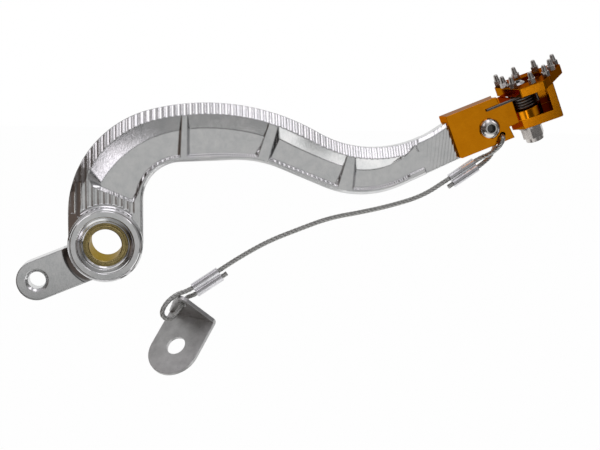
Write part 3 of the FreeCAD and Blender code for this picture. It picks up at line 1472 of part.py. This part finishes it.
def tube_path(points):
    """Straight runs joined by tangent arcs, each as large as its two runs allow."""
    edges = []
    radii = []
    last = points[0]
    for i in range(1, len(points) - 1):
        p = points[i]
        a = points[i - 1] - p
        b = points[i + 1] - p
        run_a, run_b = a.Length, b.Length
        half = a.getAngle(b) / 2
        half_turn = math.pi / 2 - half
        cut = 0.45 * min(run_a, run_b)
        a.normalize()
        b.normalize()
        start = p + a * cut
        end = p + b * cut
        radius = cut / math.tan(half_turn)
        radii.append((round(radius, 1), round(math.degrees(2 * half_turn), 1)))
        bisector = a + b
        bisector.normalize()
        centre = p + bisector * (radius / math.cos(half_turn))
        edges.append(Part.LineSegment(last, start).toShape())
        edges.append(Part.Arc(start, centre - bisector * radius, end).toShape())
        last = end
    edges.append(Part.LineSegment(last, points[-1]).toShape())
    return Part.Wire(edges), radii


path, radii = tube_path(route)
first = route[1] - route[0]
tube_ring = Part.Wire(Part.makeCircle(rope_r, route[0], first))
rope_shape = path.makePipeShell([tube_ring], True, False)
rope = doc.addObject("Part::Feature", "brake_cable")
rope.Shape = rope_shape
rope.Label = "brake_cable"
doc.recompute()
expected = math.pi * rope_r ** 2 * path.Length
print("rope radii and turns:", radii)
print("rope length", round(path.Length, 1), "volume share", round(rope_shape.Volume / expected, 4))

NODES = {
    "pedal_arm": pedal_arm,
    "pivot_bush": bush,
    "tip_block": tip_block,
    "block_bolt": screw,
    "toe_piece": toe,
    "toe_bolt": pin_body,
    "nut_washer": washer,
    "lock_nut": nut,
    "nut_ring": nylon,
    "spring_sleeve": sleeve,
    "return_spring": spring,
    "brake_cable": rope,
    "frame_bracket": bracket,
}
for thing in doc.Objects:
    if thing.Label.startswith(("stud_", "ferrule_")) and thing.TypeId == "PartDesign::Body":
        NODES[thing.Label] = thing

bad = []
for thing in doc.Objects:
    if "Invalid" in thing.State or "Error" in thing.State:
        bad.append(f"{thing.Name}: {thing.State}")
for label, thing in NODES.items():
    shape = thing.Shape
    if shape.isNull() or not shape.isValid() or len(shape.Solids) != 1:
        bad.append(f"{label}: null {shape.isNull()} solids {len(shape.Solids)}")
if bad:
    raise SystemExit("failed: " + "; ".join(bad))

os.makedirs("parts", exist_ok=True)
for label, thing in NODES.items():
    thing.Shape.exportStep(os.path.join("parts", label + ".step"))
    print(label, "volume", round(thing.Shape.Volume, 1))
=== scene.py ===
# Rear brake pedal, right-hand side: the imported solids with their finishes, the
# stranded wire rope, a pale floor and soft light, seen from the photograph's angle.
import math

import bpy
from mathutils import Matrix, Quaternion, Vector


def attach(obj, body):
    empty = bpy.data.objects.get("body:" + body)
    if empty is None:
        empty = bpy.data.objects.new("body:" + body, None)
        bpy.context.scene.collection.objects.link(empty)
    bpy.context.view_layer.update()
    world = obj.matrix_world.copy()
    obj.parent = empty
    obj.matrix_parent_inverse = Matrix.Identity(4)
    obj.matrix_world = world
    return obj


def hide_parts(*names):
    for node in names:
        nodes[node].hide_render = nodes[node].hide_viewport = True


MM = 0.001

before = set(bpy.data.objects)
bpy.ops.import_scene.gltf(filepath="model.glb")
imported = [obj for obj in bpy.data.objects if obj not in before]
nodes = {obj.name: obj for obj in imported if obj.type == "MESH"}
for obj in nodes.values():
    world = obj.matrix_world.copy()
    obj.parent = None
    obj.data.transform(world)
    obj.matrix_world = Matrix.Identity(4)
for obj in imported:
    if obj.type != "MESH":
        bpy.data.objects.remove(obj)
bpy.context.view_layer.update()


def mm(x, y, z):
    return Vector((x * MM, y * MM, z * MM))


# The block's frame, from its lower rear corner: x up the slope, z across it.
HEEL = mm(181.3, -3.0, 44.6)
SLOPE = Quaternion((0, 1, 0), math.radians(-22.0))
# The hub's frame has its own Y axis as Z.
HUB = mm(0, 0, 0)
Y_AXIS = Quaternion((1, 0, 0), math.radians(90))
# The clamp screw, and how far the painted shade in its socket reaches from its axis, in
# millimetres.
SCREW = HEEL + SLOPE @ mm(19.9, 0, 9.3)
SOCKET_SHADE_REACH = 2.2


class Shader:
    """A principled material and the nodes that feed it."""

    def __init__(self, name, color, metallic, roughness, **sockets):
        self.mat = bpy.data.materials.new(name)
        self.mat.use_nodes = True
        self.mat.diffuse_color = (*color, 1.0)
        self.tree = self.mat.node_tree
        self.bsdf = self.tree.nodes["Principled BSDF"]
        self.bsdf.inputs["Base Color"].default_value = (*color, 1.0)
        self.bsdf.inputs["Metallic"].default_value = metallic
        self.bsdf.inputs["Roughness"].default_value = roughness
        for key, value in sockets.items():
            self.bsdf.inputs[key.replace("_", " ")].default_value = value

    def node(self, kind, **settings):
        made = self.tree.nodes.new(kind)
        for key, value in settings.items():
            setattr(made, key, value)
        return made

    def link(self, a, b):
        self.tree.links.new(a, b)

    def coords(self, scale=(1, 1, 1), place=None, turn=None):
        """Object coordinates in millimetres, in the frame at place, then scaled."""
        source = self.node("ShaderNodeTexCoord").outputs["Object"]
        to_mm = self.node("ShaderNodeMapping", vector_type="POINT")
        to_mm.inputs["Scale"].default_value = (1000, 1000, 1000)
        self.link(source, to_mm.inputs["Vector"])
        out = to_mm.outputs["Vector"]
        if place is not None:
            moved = self.node("ShaderNodeMapping", vector_type="TEXTURE")
            moved.inputs["Location"].default_value = place / MM
            moved.inputs["Rotation"].default_value = turn.to_euler()
            self.link(out, moved.inputs["Vector"])
            out = moved.outputs["Vector"]
        if tuple(scale) != (1, 1, 1):
            scaled = self.node("ShaderNodeMapping", vector_type="POINT")
            scaled.inputs["Scale"].default_value = scale
            self.link(out, scaled.inputs["Vector"])
            out = scaled.outputs["Vector"]
        return out

    def noise(self, vector, scale, detail, roughness=0.6):
        made = self.node("ShaderNodeTexNoise")
        made.inputs["Scale"].default_value = scale
        made.inputs["Detail"].default_value = detail
        made.inputs["Roughness"].default_value = roughness
        self.link(vector, made.inputs["Vector"])
        return made.outputs["Fac"]

    def ramp(self, value, stops):
        made = self.node("ShaderNodeValToRGB")
        elements = made.color_ramp.elements
        while len(elements) < len(stops):
            elements.new(0.5)
        for element, (at, color) in zip(elements, stops):
            element.position = at
            element.color = (*color, 1.0)
        self.link(value, made.inputs["Fac"])
        return made.outputs["Color"]

    def maths(self, operation, *values):
        """One operation on numbers and sockets."""
        made = self.node("ShaderNodeMath", operation=operation)
        for socket, value in zip(made.inputs, values):
            if isinstance(value, (int, float)):
                socket.default_value = value
            else:
                self.link(value, socket)
        return made.outputs["Value"]

    def part(self, vector, axis):
        split = self.node("ShaderNodeSeparateXYZ")
        self.link(vector, split.inputs["Vector"])
        return split.outputs[axis]

    def range(self, value, low, high, to_low=0.0, to_high=1.0):
        made = self.node("ShaderNodeMapRange")
        made.inputs["From Min"].default_value = low
        made.inputs["From Max"].default_value = high
        made.inputs["To Min"].default_value = to_low
        made.inputs["To Max"].default_value = to_high
        self.link(value, made.inputs["Value"])
        return made.outputs["Result"]

    def bump(self, height, strength, distance, normal=None):
        made = self.node("ShaderNodeBump")
        made.inputs["Strength"].default_value = strength
        made.inputs["Distance"].default_value = distance * MM
        self.link(height, made.inputs["Height"])
        if normal is not None:
            self.link(normal, made.inputs["Normal"])
        return made.outputs["Normal"]

    def bands(self, vector, step, **settings):
        """Bands along the vector's X, a step apart in millimetres."""
        made = self.node("ShaderNodeTexWave", wave_type="BANDS", bands_direction="X")
        made.inputs["Scale"].default_value = math.pi / 10 / step
        for key, value in settings.items():
            made.inputs[key.replace("_", " ")].default_value = value
        self.link(vector, made.inputs["Vector"])
        return made.outputs["Fac"]

    def soft_edges(self, radius):
        """The normal with edges rounded to a radius in millimetres, a number or a socket."""
        made = self.node("ShaderNodeBevel", samples=6)
        if isinstance(radius, float):
            made.inputs["Radius"].default_value = radius * MM
        else:
            self.link(self.maths("MULTIPLY", radius, MM), made.inputs["Radius"])
        return made.outputs["Normal"]

    def from_y_axis(self, vector):
        """Distance from the Y axis of the given frame."""
        flat = self.node("ShaderNodeVectorMath", operation="MULTIPLY")
        flat.inputs[1].default_value = (1, 0, 1)
        self.link(vector, flat.inputs[0])
        radial = self.node("ShaderNodeVectorMath", operation="LENGTH")
        self.link(flat.outputs["Vector"], radial.inputs[0])
        return radial.outputs["Value"]

    def finish(self, color, roughness, normal):
        self.link(color, self.bsdf.inputs["Base Color"])
        if roughness is not None:
            self.link(roughness, self.bsdf.inputs["Roughness"])
        self.link(normal, self.bsdf.inputs["Normal"])
        return self.mat


# The arm's fine marks, in millimetres: the radius of its soft edges near the hub and away
# from it, and where that changes; the scratches' step and lean in degrees, and where they
# fade in and out along the slope; the hollow where the lug meets the hub, by its distance
# from the pivot, and where the lug begins; the rings turned in the hub's dish; and the
# cutter's steps along the pockets' steep walls.
EDGE_AT_HUB = 0.45
EDGE_ON_ARM = 1.0
EDGE_CHANGE = (20.5, 24)
SCRATCH_STEP = 1.9
SCRATCH_LEAN = 24
SCRATCHES_IN = (-19, -15)
SCRATCHES_OUT = (3, 1)
LUG_COVE = (18.8, 22.4)
LUG_UNDER = (3, 1)
LUG_BEHIND = (-6, -8)
DISH_RINGS = (12.0, 14.0, 17.3)
CUTTER_STEP = 2.4
# A steep wall, by how much its normal faces outboard.
WALL_FROM = (0.2, 0.3)
WALL_TO = (0.62, 0.52)


def scratched_end(s, normal):
    """Leaning scratches on the plain end before the block."""
    along = s.part(s.coords((1, 1, 1), HEEL, SLOPE), "X")
    inside = s.maths("MULTIPLY", s.range(along, *SCRATCHES_IN), s.range(along, *SCRATCHES_OUT))
    leaning = SLOPE @ Quaternion((0, 1, 0), math.radians(SCRATCH_LEAN))
    long = s.coords((1, 1, 0.3), HEEL, leaning)
    scratches = s.bands(long, SCRATCH_STEP, Distortion=9.0, Detail=2.0, Detail_Scale=0.35)
    return s.bump(s.maths("MULTIPLY", scratches, inside), 0.6, 0.05, normal)


def lug_hollow(s, at, from_hub, normal):
    """The lug's face rises into the hub through a hollow."""
    under = s.range(s.part(at, "Z"), *LUG_UNDER)
    behind = s.range(s.part(at, "X"), *LUG_BEHIND)
    lug_side = s.maths("MULTIPLY", under, behind)
    outside = s.range(from_hub, LUG_COVE[0] - 0.5, LUG_COVE[0] - 0.3)
    rise = s.maths("POWER", s.range(from_hub, LUG_COVE[1], LUG_COVE[0]), 2.0)
    cove = s.maths("MULTIPLY", s.maths("MULTIPLY", rise, outside), lug_side)
    return s.bump(cove, 1.0, 1.6, normal)


def dish_rings(s, from_hub, normal):
    """Fine grooves turned in the hub's dish."""
    for ring in DISH_RINGS:
        groove = s.range(s.maths("ABSOLUTE", s.maths("SUBTRACT", from_hub, ring)), 0.1, 0.45)
        normal = s.bump(groove, 1.0, 0.24, normal)
    return normal


def cutter_steps(s, at, normal):
    """The cutter's steps on walls that are neither flat nor upright."""
    facing = s.maths("ABSOLUTE", s.part(s.node("ShaderNodeTexCoord").outputs["Normal"], "Y"))
    on_wall = s.maths("MULTIPLY", s.range(facing, *WALL_FROM), s.range(facing, *WALL_TO))
    steps = s.bands(at, CUTTER_STEP)
    return s.bump(s.maths("MULTIPLY", steps, on_wall), 1.0, 0.5, normal)


def arm_metal():
    """Polished aluminium: faint clouding, fine milling lines, scratched plain end."""
    s = Shader("polished_aluminium", (0.84, 0.84, 0.84), 1.0, 0.17)
    at = s.coords()
    cloud = s.noise(at, 0.16, 3.0)
    color = s.ramp(cloud, [(0.3, (0.76, 0.77, 0.77)), (0.7, (0.88, 0.875, 0.87))])
    grain = s.noise(s.coords((0.9, 0.2, 0.35)), 1.4, 4.0, 0.7)
    rough = s.range(grain, 0.35, 0.75, 0.09, 0.19)
    fine = s.noise(s.coords((1.1, 0.4, 0.5)), 1.6, 5.0, 0.7)
    from_hub = s.from_y_axis(at)
    edges = s.soft_edges(s.range(from_hub, *EDGE_CHANGE, EDGE_AT_HUB, EDGE_ON_ARM))
    normal = s.bump(fine, 0.16, 0.06, edges)
    normal = scratched_end(s, normal)
    normal = lug_hollow(s, at, from_hub, normal)
    normal = dish_rings(s, from_hub, normal)
    normal = cutter_steps(s, at, normal)
    return s.finish(color, rough, normal)


def gold_metal(name, deep, light):
    """Anodised aluminium: smooth and glossy, a little cloudy, its edges broken."""
    s = Shader(name, light, 1.0, 0.2, Specular_Tint=(0.42, 0.30, 0.19, 1))
    color = s.ramp(s.noise(s.coords(), 0.12, 2.0), [(0.3, deep), (0.7, light)])
    grain = s.noise(s.coords((0.5, 0.5, 2.4)), 1.2, 3.0, 0.6)
    rough = s.range(grain, 0.3, 0.75, 0.13, 0.2)
    normal = s.bump(grain, 0.05, 0.03, s.soft_edges(0.45))
    return s.finish(color, rough, normal)


def turned_metal(name, color, rough, place, turn, pitch=0.35, depth=0.04):
    """Metal with the fine rings that a lathe leaves, about the given frame's Z axis."""
    s = Shader(name, color, 1.0, rough, Specular_Tint=(*(c * 0.8 for c in color), 1))
    local = s.coords((1, 1, 1), place, turn)
    cloud = s.noise(local, 0.5, 2.0)
    dark = tuple(c * 0.82 for c in color)
    tint = s.ramp(cloud, [(0.3, dark), (0.7, color)])
    wave = s.node("ShaderNodeTexWave", wave_type="RINGS", rings_direction="Z")
    wave.inputs["Scale"].default_value = 1.0 / pitch
    wave.inputs["Distortion"].default_value = 0.6
    s.link(local, wave.inputs["Vector"])
    grain = s.noise(local, 2.2, 3.0)
    normal = s.bump(wave.outputs["Fac"], 0.25, depth, s.soft_edges(0.2))
    return s.finish(tint, s.range(grain, 0.3, 0.7, rough * 0.8, rough * 1.35), normal)


def plain_metal(name, color, rough, scale=1.2, bump=0.15, edge=0.2):
    """Cloudy metal with a fine grain and broken edges."""
    s = Shader(name, color, 1.0, rough)
    local = s.coords()
    cloud = s.noise(local, scale * 0.3, 3.0)
    dark = tuple(c * 0.78 for c in color)
    tint = s.ramp(cloud, [(0.3, dark), (0.7, color)])
    grain = s.noise(local, scale, 4.0, 0.7)
    normal = s.bump(grain, bump, 0.08, s.soft_edges(edge))
    return s.finish(tint, s.range(grain, 0.3, 0.7, rough * 0.75, rough * 1.4), normal)


def socket_shaded_metal(name, color, rough, place, turn, reach, widest=10):
    """A screw head: plain metal, with painted shade in its socket out to the given reach from
    the axis.
    """
    s = Shader(name, color, 1.0, rough)
    local = s.coords((1, 1, 1), place, turn)
    # Painted shade: the socket is coloured dark out to the reach, standing in for shadow in its
    # recess; the head turns a little darker further out.
    dark = tuple(c * 0.15 for c in color)
    soft = tuple(c * 0.8 for c in color)
    rim = reach / widest
    out = s.range(s.from_y_axis(local), 0, widest)
    tint = s.ramp(out, [(0.0, dark), (rim, dark), (rim + 0.02, color), (0.5, soft)])
    grain = s.noise(local, 1.2, 4.0, 0.7)
    return s.finish(tint, s.range(grain, 0.3, 0.7, rough * 0.75, rough * 1.4), s.soft_edges(0.2))


finishes = {
    "pedal_arm": arm_metal(),
    "pivot_bush": turned_metal("bush_brass", (0.62, 0.49, 0.21), 0.22, HUB, Y_AXIS),
    "tip_block": gold_metal("gold_block", (0.84, 0.28, 0.004), (0.92, 0.32, 0.006)),
    # Painted shade: the toe piece has the block's gold anodising, with its colours darkened to
    # hold down the light it catches.
    "toe_piece": gold_metal("shaded_gold_toe", (0.39, 0.130, 0.002), (0.46, 0.163, 0.003)),
    "block_bolt": socket_shaded_metal("stainless", (0.90, 0.88, 0.85), 0.2, SCREW, SLOPE, SOCKET_SHADE_REACH),
    "toe_bolt": plain_metal("stainless_toe", (0.60, 0.59, 0.58), 0.22),
    "nut_washer": plain_metal("washer_steel", (0.62, 0.60, 0.57), 0.3),
    "lock_nut": plain_metal("nut_steel", (0.80, 0.76, 0.72), 0.28),
    "spring_sleeve": plain_metal("sleeve_steel", (0.30, 0.29, 0.28), 0.35),
    "return_spring": plain_metal("spring_steel", (0.20, 0.185, 0.17), 0.30, 2.0),
    "ferrule_upper": plain_metal("ferrule_metal", (0.97, 0.965, 0.99), 0.27, 0.7, 0.05),
    "frame_bracket": plain_metal("bracket_metal", (0.68, 0.68, 0.67), 0.36, 0.7, 0.3, 0.4),
}
finishes["ferrule_lower"] = finishes["ferrule_upper"]

nylon = Shader("nut_nylon", (0.72, 0.72, 0.68), 0.0, 0.45)
nylon_grain = nylon.noise(nylon.coords(), 2.0, 3.0)
finishes["nut_ring"] = nylon.finish(
    nylon.ramp(nylon_grain, [(0.3, (0.62, 0.62, 0.58)), (0.7, (0.76, 0.76, 0.72))]),
    None,
    nylon.bump(nylon_grain, 0.2, 0.05),
)
stud_metal = plain_metal("stud_steel", (0.64, 0.61, 0.58), 0.24, 1.6, 0.2, 0.15)
for number in range(1, 10):
    finishes[f"stud_{number:02d}"] = stud_metal

for name, material in finishes.items():
    mesh = nodes[name].data
    mesh.materials.clear()
    mesh.materials.append(material)
    for polygon in mesh.polygons:
        polygon.material_index = 0


# The rope's route, as in the part's source, in metres.
ROUTE = [
    (0.17728, -0.0030, 0.02941),
    (0.18951, -0.0030, 0.03775),
    (0.19529, -0.0030, 0.04170),
    (0.20100, 0.0006, 0.04540),
    (0.20520, 0.0052, 0.05100),
    (0.20356, 0.0068, 0.05758),
    (0.20356, -0.0128, 0.05758),
    (0.20170, -0.0120, 0.05190),
    (0.19830, -0.0076, 0.04760),
    (0.19332, -0.0030, 0.04459),
    (0.18754, -0.0030, 0.04064),
    (0.17713, -0.0030, 0.03354),
    (0.16350, -0.0032, 0.02460),
    (0.14700, -0.0034, 0.01960),
    (0.13100, -0.0034, 0.01600),
    (0.11400, -0.0034, 0.01300),
    (0.09800, -0.0033, 0.00700),
    (0.08250, -0.0032, 0.00090),
    (0.06850, -0.0030, -0.00700),
    (0.05739, -0.0030, -0.01424),
    (0.04688, -0.0030, -0.02119),
    (0.04104, -0.0030, -0.02506),
    (0.03520, -0.0064, -0.02600),
    (0.02960, -0.0100, -0.03000),
    (0.02720, -0.0114, -0.03560),
    (0.03170, -0.0092, -0.03920),
    (0.03641, -0.0054, -0.03479),
    (0.04052, -0.0011, -0.02858),
    (0.04381, -0.0030, -0.02742),
    (0.04715, -0.0030, -0.02522),
    (0.06116, -0.0030, -0.01594),
]


# In metres: the rope's thickness, its strands' own ring, how far they run in one turn, and
# the step between its sections.
ROPE_RADIUS = 0.00122
ROPE_STRANDS = 6
ROPE_LAY = 0.013
ROPE_STEP = 0.00045


def smooth_route(points, resolution=24):
    """Points along the route's smooth line, from a curve with no thickness."""
    curve = bpy.data.curves.new("rope_line", "CURVE")
    curve.dimensions = "3D"
    curve.resolution_u = resolution
    spline = curve.splines.new("NURBS")
    spline.points.add(len(points) - 1)
    for point, at in zip(spline.points, points):
        point.co = (*at, 1.0)
    spline.order_u = 3
    spline.use_endpoint_u = True
    holder = bpy.data.objects.new("rope_line", curve)
    bpy.context.scene.collection.objects.link(holder)
    bpy.context.view_layer.update()
    mesh = bpy.data.meshes.new_from_object(holder)
    line = [v.co.copy() for v in mesh.vertices]
    bpy.data.objects.remove(holder)
    bpy.data.meshes.remove(mesh)
    return line


def even_steps(line, step):
    """The same line with its points a fixed step apart."""
    out = [line[0].copy()]
    left = step
    for a, b in zip(line, line[1:]):
        run = (b - a).length
        done = 0.0
        while run - done >= left:
            done += left
            out.append(a.lerp(b, done / run))
            left = step
        left -= run - done
    out.append(line[-1].copy())
    return out


def stranded(name, line, radius, strands, lay, per_strand=5):
    """A tube along the line whose section is a ring of round strands that turn as it goes."""
    ring = strands * per_strand
    strand_r = radius / 3
    centre_r = radius - strand_r
    section = []
    half = math.pi / strands
    for i in range(ring):
        angle = 2 * math.pi * i / ring
        off = (angle + half) % (2 * half) - half
        bulge = max(0.0, strand_r ** 2 - (centre_r * math.sin(off)) ** 2)
        section.append((angle, centre_r * math.cos(off) + math.sqrt(bulge)))
    verts = []
    faces = []
    tangent = (line[1] - line[0]).normalized()
    side = tangent.orthogonal().normalized()
    travelled = 0.0
    for k, at in enumerate(line):
        ahead = line[min(k + 1, len(line) - 1)] - line[max(k - 1, 0)]
        ahead.normalize()
        side = (side - ahead * side.dot(ahead)).normalized()
        other = ahead.cross(side)
        if k:
            travelled += (at - line[k - 1]).length
        twist = 2 * math.pi * travelled / lay
        for angle, reach in section:
            a = angle + twist
            verts.append(at + side * (math.cos(a) * reach) + other * (math.sin(a) * reach))
    for k in range(len(line) - 1):
        for i in range(ring):
            j = (i + 1) % ring
            faces.append((k * ring + i, k * ring + j, (k + 1) * ring + j, (k + 1) * ring + i))
    faces.append(tuple(range(ring - 1, -1, -1)))
    last = (len(line) - 1) * ring
    faces.append(tuple(last + i for i in range(ring)))
    mesh = bpy.data.meshes.new(name)
    mesh.from_pydata(verts, [], faces)
    mesh.update()
    for polygon in mesh.polygons:
        polygon.use_smooth = len(polygon.vertices) == 4
    made = bpy.data.objects.new(name, mesh)
    bpy.context.scene.collection.objects.link(made)
    return made


rope_line = even_steps(smooth_route(ROUTE), ROPE_STEP)
rope = stranded("wire_rope", rope_line, ROPE_RADIUS, ROPE_STRANDS, ROPE_LAY)
rope.data.materials.append(plain_metal("rope_steel", (0.50, 0.50, 0.48), 0.30, 2.4, 0.25, 0.05))
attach(rope, "pedal")
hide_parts("brake_cable")


# Floor, light and camera, in metres.
WHITE_LEVEL = 1.0
# How much of the floor is plain white to the eye, and how much of the white behind the part
# its metal shows.
FLOOR_WHITE = 0.985
BEHIND_SHARE = 0.7
FLOOR_Z = -0.16
FLOOR_BACK = [(-6.0, 0.0), (6.0, 0.0), (6.0, 6.0), (-6.0, 6.0)]
WHITE_CARD = [
    (-0.02, -0.32),
    (0.05, -0.32),
    (0.07, -0.26),
    (0.40, -0.26),
    (0.40, -0.002),
    (0.12, -0.002),
    (0.12, -0.12),
    (-0.02, -0.12),
]


def studio_floor():
    """A pale floor behind the part and a white card before it, both white to eye and metal."""
    mesh = bpy.data.meshes.new("floor")
    corners = [(x, y, FLOOR_Z) for x, y in FLOOR_BACK + WHITE_CARD]
    back = range(len(FLOOR_BACK))
    mesh.from_pydata(corners, [], [tuple(back), tuple(range(len(back), len(corners)))])
    made = bpy.data.objects.new("floor", mesh)
    bpy.context.scene.collection.objects.link(made)
    s = Shader("floor_white", (0.9, 0.9, 0.9), 0.0, 0.8)
    path = s.node("ShaderNodeLightPath")
    card = s.range(s.part(s.coords(), "Y"), -1, 1, 1.0, BEHIND_SHARE)
    mirrored = s.maths("MULTIPLY", path.outputs["Is Glossy Ray"], card)
    seen = s.maths("MAXIMUM", path.outputs["Is Camera Ray"], mirrored)
    seen = s.maths("MAXIMUM", seen, path.outputs["Is Transmission Ray"])
    glow = s.node("ShaderNodeEmission")
    glow.inputs["Color"].default_value = (1, 1, 1, 1)
    glow.inputs["Strength"].default_value = WHITE_LEVEL
    mix = s.node("ShaderNodeMixShader")
    s.link(s.maths("MULTIPLY", seen, FLOOR_WHITE), mix.inputs["Fac"])
    s.link(s.bsdf.outputs["BSDF"], mix.inputs[1])
    s.link(glow.outputs["Emission"], mix.inputs[2])
    out = s.tree.nodes["Material Output"]
    s.link(mix.outputs["Shader"], out.inputs["Surface"])
    mesh.materials.append(s.mat)


studio_floor()

# The room's brightness by height, straight down to straight up.
ROOM = [
    (0.0, 0.36),
    (0.26, 0.26),
    (0.30, 0.06),
    (0.375, 0.06),
    (0.405, 0.47),
    (0.50, 0.50),
    (0.56, 0.16),
    (0.66, 0.26),
    (0.80, 0.46),
    (1.0, 0.52),
]
# And from left to right: the left wall is dark and a little brown.
SIDES = [
    (0.0, (0.24, 0.18, 0.15)),
    (0.20, (0.30, 0.25, 0.23)),
    (0.28, (0.28, 0.24, 0.22)),
    (0.35, (1.0, 1.0, 1.0)),
    (0.67, (1.0, 1.0, 1.0)),
    (0.74, (0.35, 0.33, 0.33)),
    (0.85, (0.8, 0.8, 0.82)),
    (1.0, (0.3, 0.3, 0.3)),
]
# Towards the ceiling the sides even out to this.
CEILING = (0.9, 0.88, 0.92)
CEILING_FROM = 0.15
# The white behind the part begins between these, along Y.
BEHIND_FROM = (0.2, 0.5)


def studio_world():
    """A grey room with a bright ceiling in front of the part, and plain white behind it."""
    world = bpy.data.worlds.new("studio")
    bpy.context.scene.world = world
    world.use_nodes = True
    tree = world.node_tree

    def node(kind, **settings):
        made = tree.nodes.new(kind)
        for key, value in settings.items():
            setattr(made, key, value)
        return made

    def spread(value, low, high, top=1.0):
        made = node("ShaderNodeMapRange")
        made.inputs["From Min"].default_value = low
        made.inputs["From Max"].default_value = high
        made.inputs["To Max"].default_value = top
        tree.links.new(value, made.inputs["Value"])
        return made.outputs["Result"]

    def join(operation, a, b):
        made = node("ShaderNodeMath", operation=operation)
        tree.links.new(a, made.inputs[0])
        tree.links.new(b, made.inputs[1])
        return made.outputs["Value"]

    def shade(value, stops):
        ramp = node("ShaderNodeValToRGB")
        while len(ramp.color_ramp.elements) < len(stops):
            ramp.color_ramp.elements.new(0.5)
        for element, (at, color) in zip(ramp.color_ramp.elements, stops):
            element.position = at
            element.color = (*color, 1)
        tree.links.new(spread(value, -1, 1), ramp.inputs["Fac"])
        return ramp.outputs["Color"]

    room = tree.nodes["Background"]
    split = node("ShaderNodeSeparateXYZ")
    tree.links.new(node("ShaderNodeTexCoord").outputs["Generated"], split.inputs["Vector"])
    tint = node("ShaderNodeVectorMath", operation="MULTIPLY")
    heights = [(at, (level, level, level)) for at, level in ROOM]
    tree.links.new(shade(split.outputs["Z"], heights), tint.inputs[0])
    sides = node("ShaderNodeMix", data_type="RGBA")
    tree.links.new(spread(split.outputs["Z"], CEILING_FROM, 1.0), sides.inputs["Factor"])
    tree.links.new(shade(split.outputs["X"], SIDES), sides.inputs["A"])
    sides.inputs["B"].default_value = (*CEILING, 1)
    tree.links.new(sides.outputs["Result"], tint.inputs[1])
    tree.links.new(tint.outputs["Vector"], room.inputs["Color"])

    white = node("ShaderNodeBackground")
    white.inputs["Color"].default_value = (1, 1, 1, 1)
    white.inputs["Strength"].default_value = WHITE_LEVEL
    path = node("ShaderNodeLightPath")
    behind = spread(split.outputs["Y"], *BEHIND_FROM, BEHIND_SHARE)
    behind = join("MULTIPLY", path.outputs["Is Glossy Ray"], behind)
    seen = join("MAXIMUM", path.outputs["Is Camera Ray"], path.outputs["Is Transmission Ray"])
    mix = node("ShaderNodeMixShader")
    tree.links.new(join("MAXIMUM", seen, behind), mix.inputs["Fac"])
    tree.links.new(room.outputs["Background"], mix.inputs[1])
    tree.links.new(white.outputs["Background"], mix.inputs[2])
    tree.links.new(mix.outputs["Shader"], tree.nodes["World Output"].inputs["Surface"])


studio_world()


LAMP_TINT = (0.98, 0.94, 1.0)
LAMP_AIM = (0.09, 0.0, 0.02)
# Name, place, size, watts.
LAMPS = [
    ("lamp_top", (0.05, -0.30, 0.9), (0.36, 0.7), 0.75),
    ("lamp_right", (0.80, -0.46, 0.85), (0.3, 0.5), 0.62),
    ("lamp_left", (-0.75, -0.47, 0.70), (0.3, 0.5), 0.52),
    ("card_right", (0.165, -0.43, -0.165), (0.07, 0.08), 0.028),
]

for name, at, size, watts in LAMPS:
    lamp_data = bpy.data.lights.new(name, "AREA")
    lamp_data.shape = "RECTANGLE"
    lamp_data.size = size[0]
    lamp_data.size_y = size[1]
    lamp_data.energy = watts
    lamp_data.color = LAMP_TINT
    lamp = bpy.data.objects.new(name, lamp_data)
    bpy.context.scene.collection.objects.link(lamp)
    lamp.location = at
    lamp.rotation_euler = (Vector(LAMP_AIM) - Vector(at)).to_track_quat("-Z", "Y").to_euler()

CAMERA_AT = (0.0274, -0.4912, 0.0761)
CAMERA_RIGHT = (0.9897, -0.1420, 0.0195)
CAMERA_FORWARD = (0.1433, 0.9805, -0.1344)
CAMERA_LENS = 57.6
camera_data = bpy.data.cameras.new("camera")
camera_data.sensor_fit = "HORIZONTAL"
camera_data.sensor_width = 36.0
camera_data.lens = CAMERA_LENS
camera_data.clip_start = 0.01
camera_data.clip_end = 20
camera = bpy.data.objects.new("camera", camera_data)
bpy.context.scene.collection.objects.link(camera)
right = Vector(CAMERA_RIGHT).normalized()
forward = Vector(CAMERA_FORWARD).normalized()
upward = right.cross(forward).normalized()
columns = zip(right, upward, -forward, CAMERA_AT)
camera.matrix_world = Matrix([*columns, (0, 0, 0, 1)])
bpy.context.scene.camera = camera
bpy.context.scene.view_settings.view_transform = "Standard"
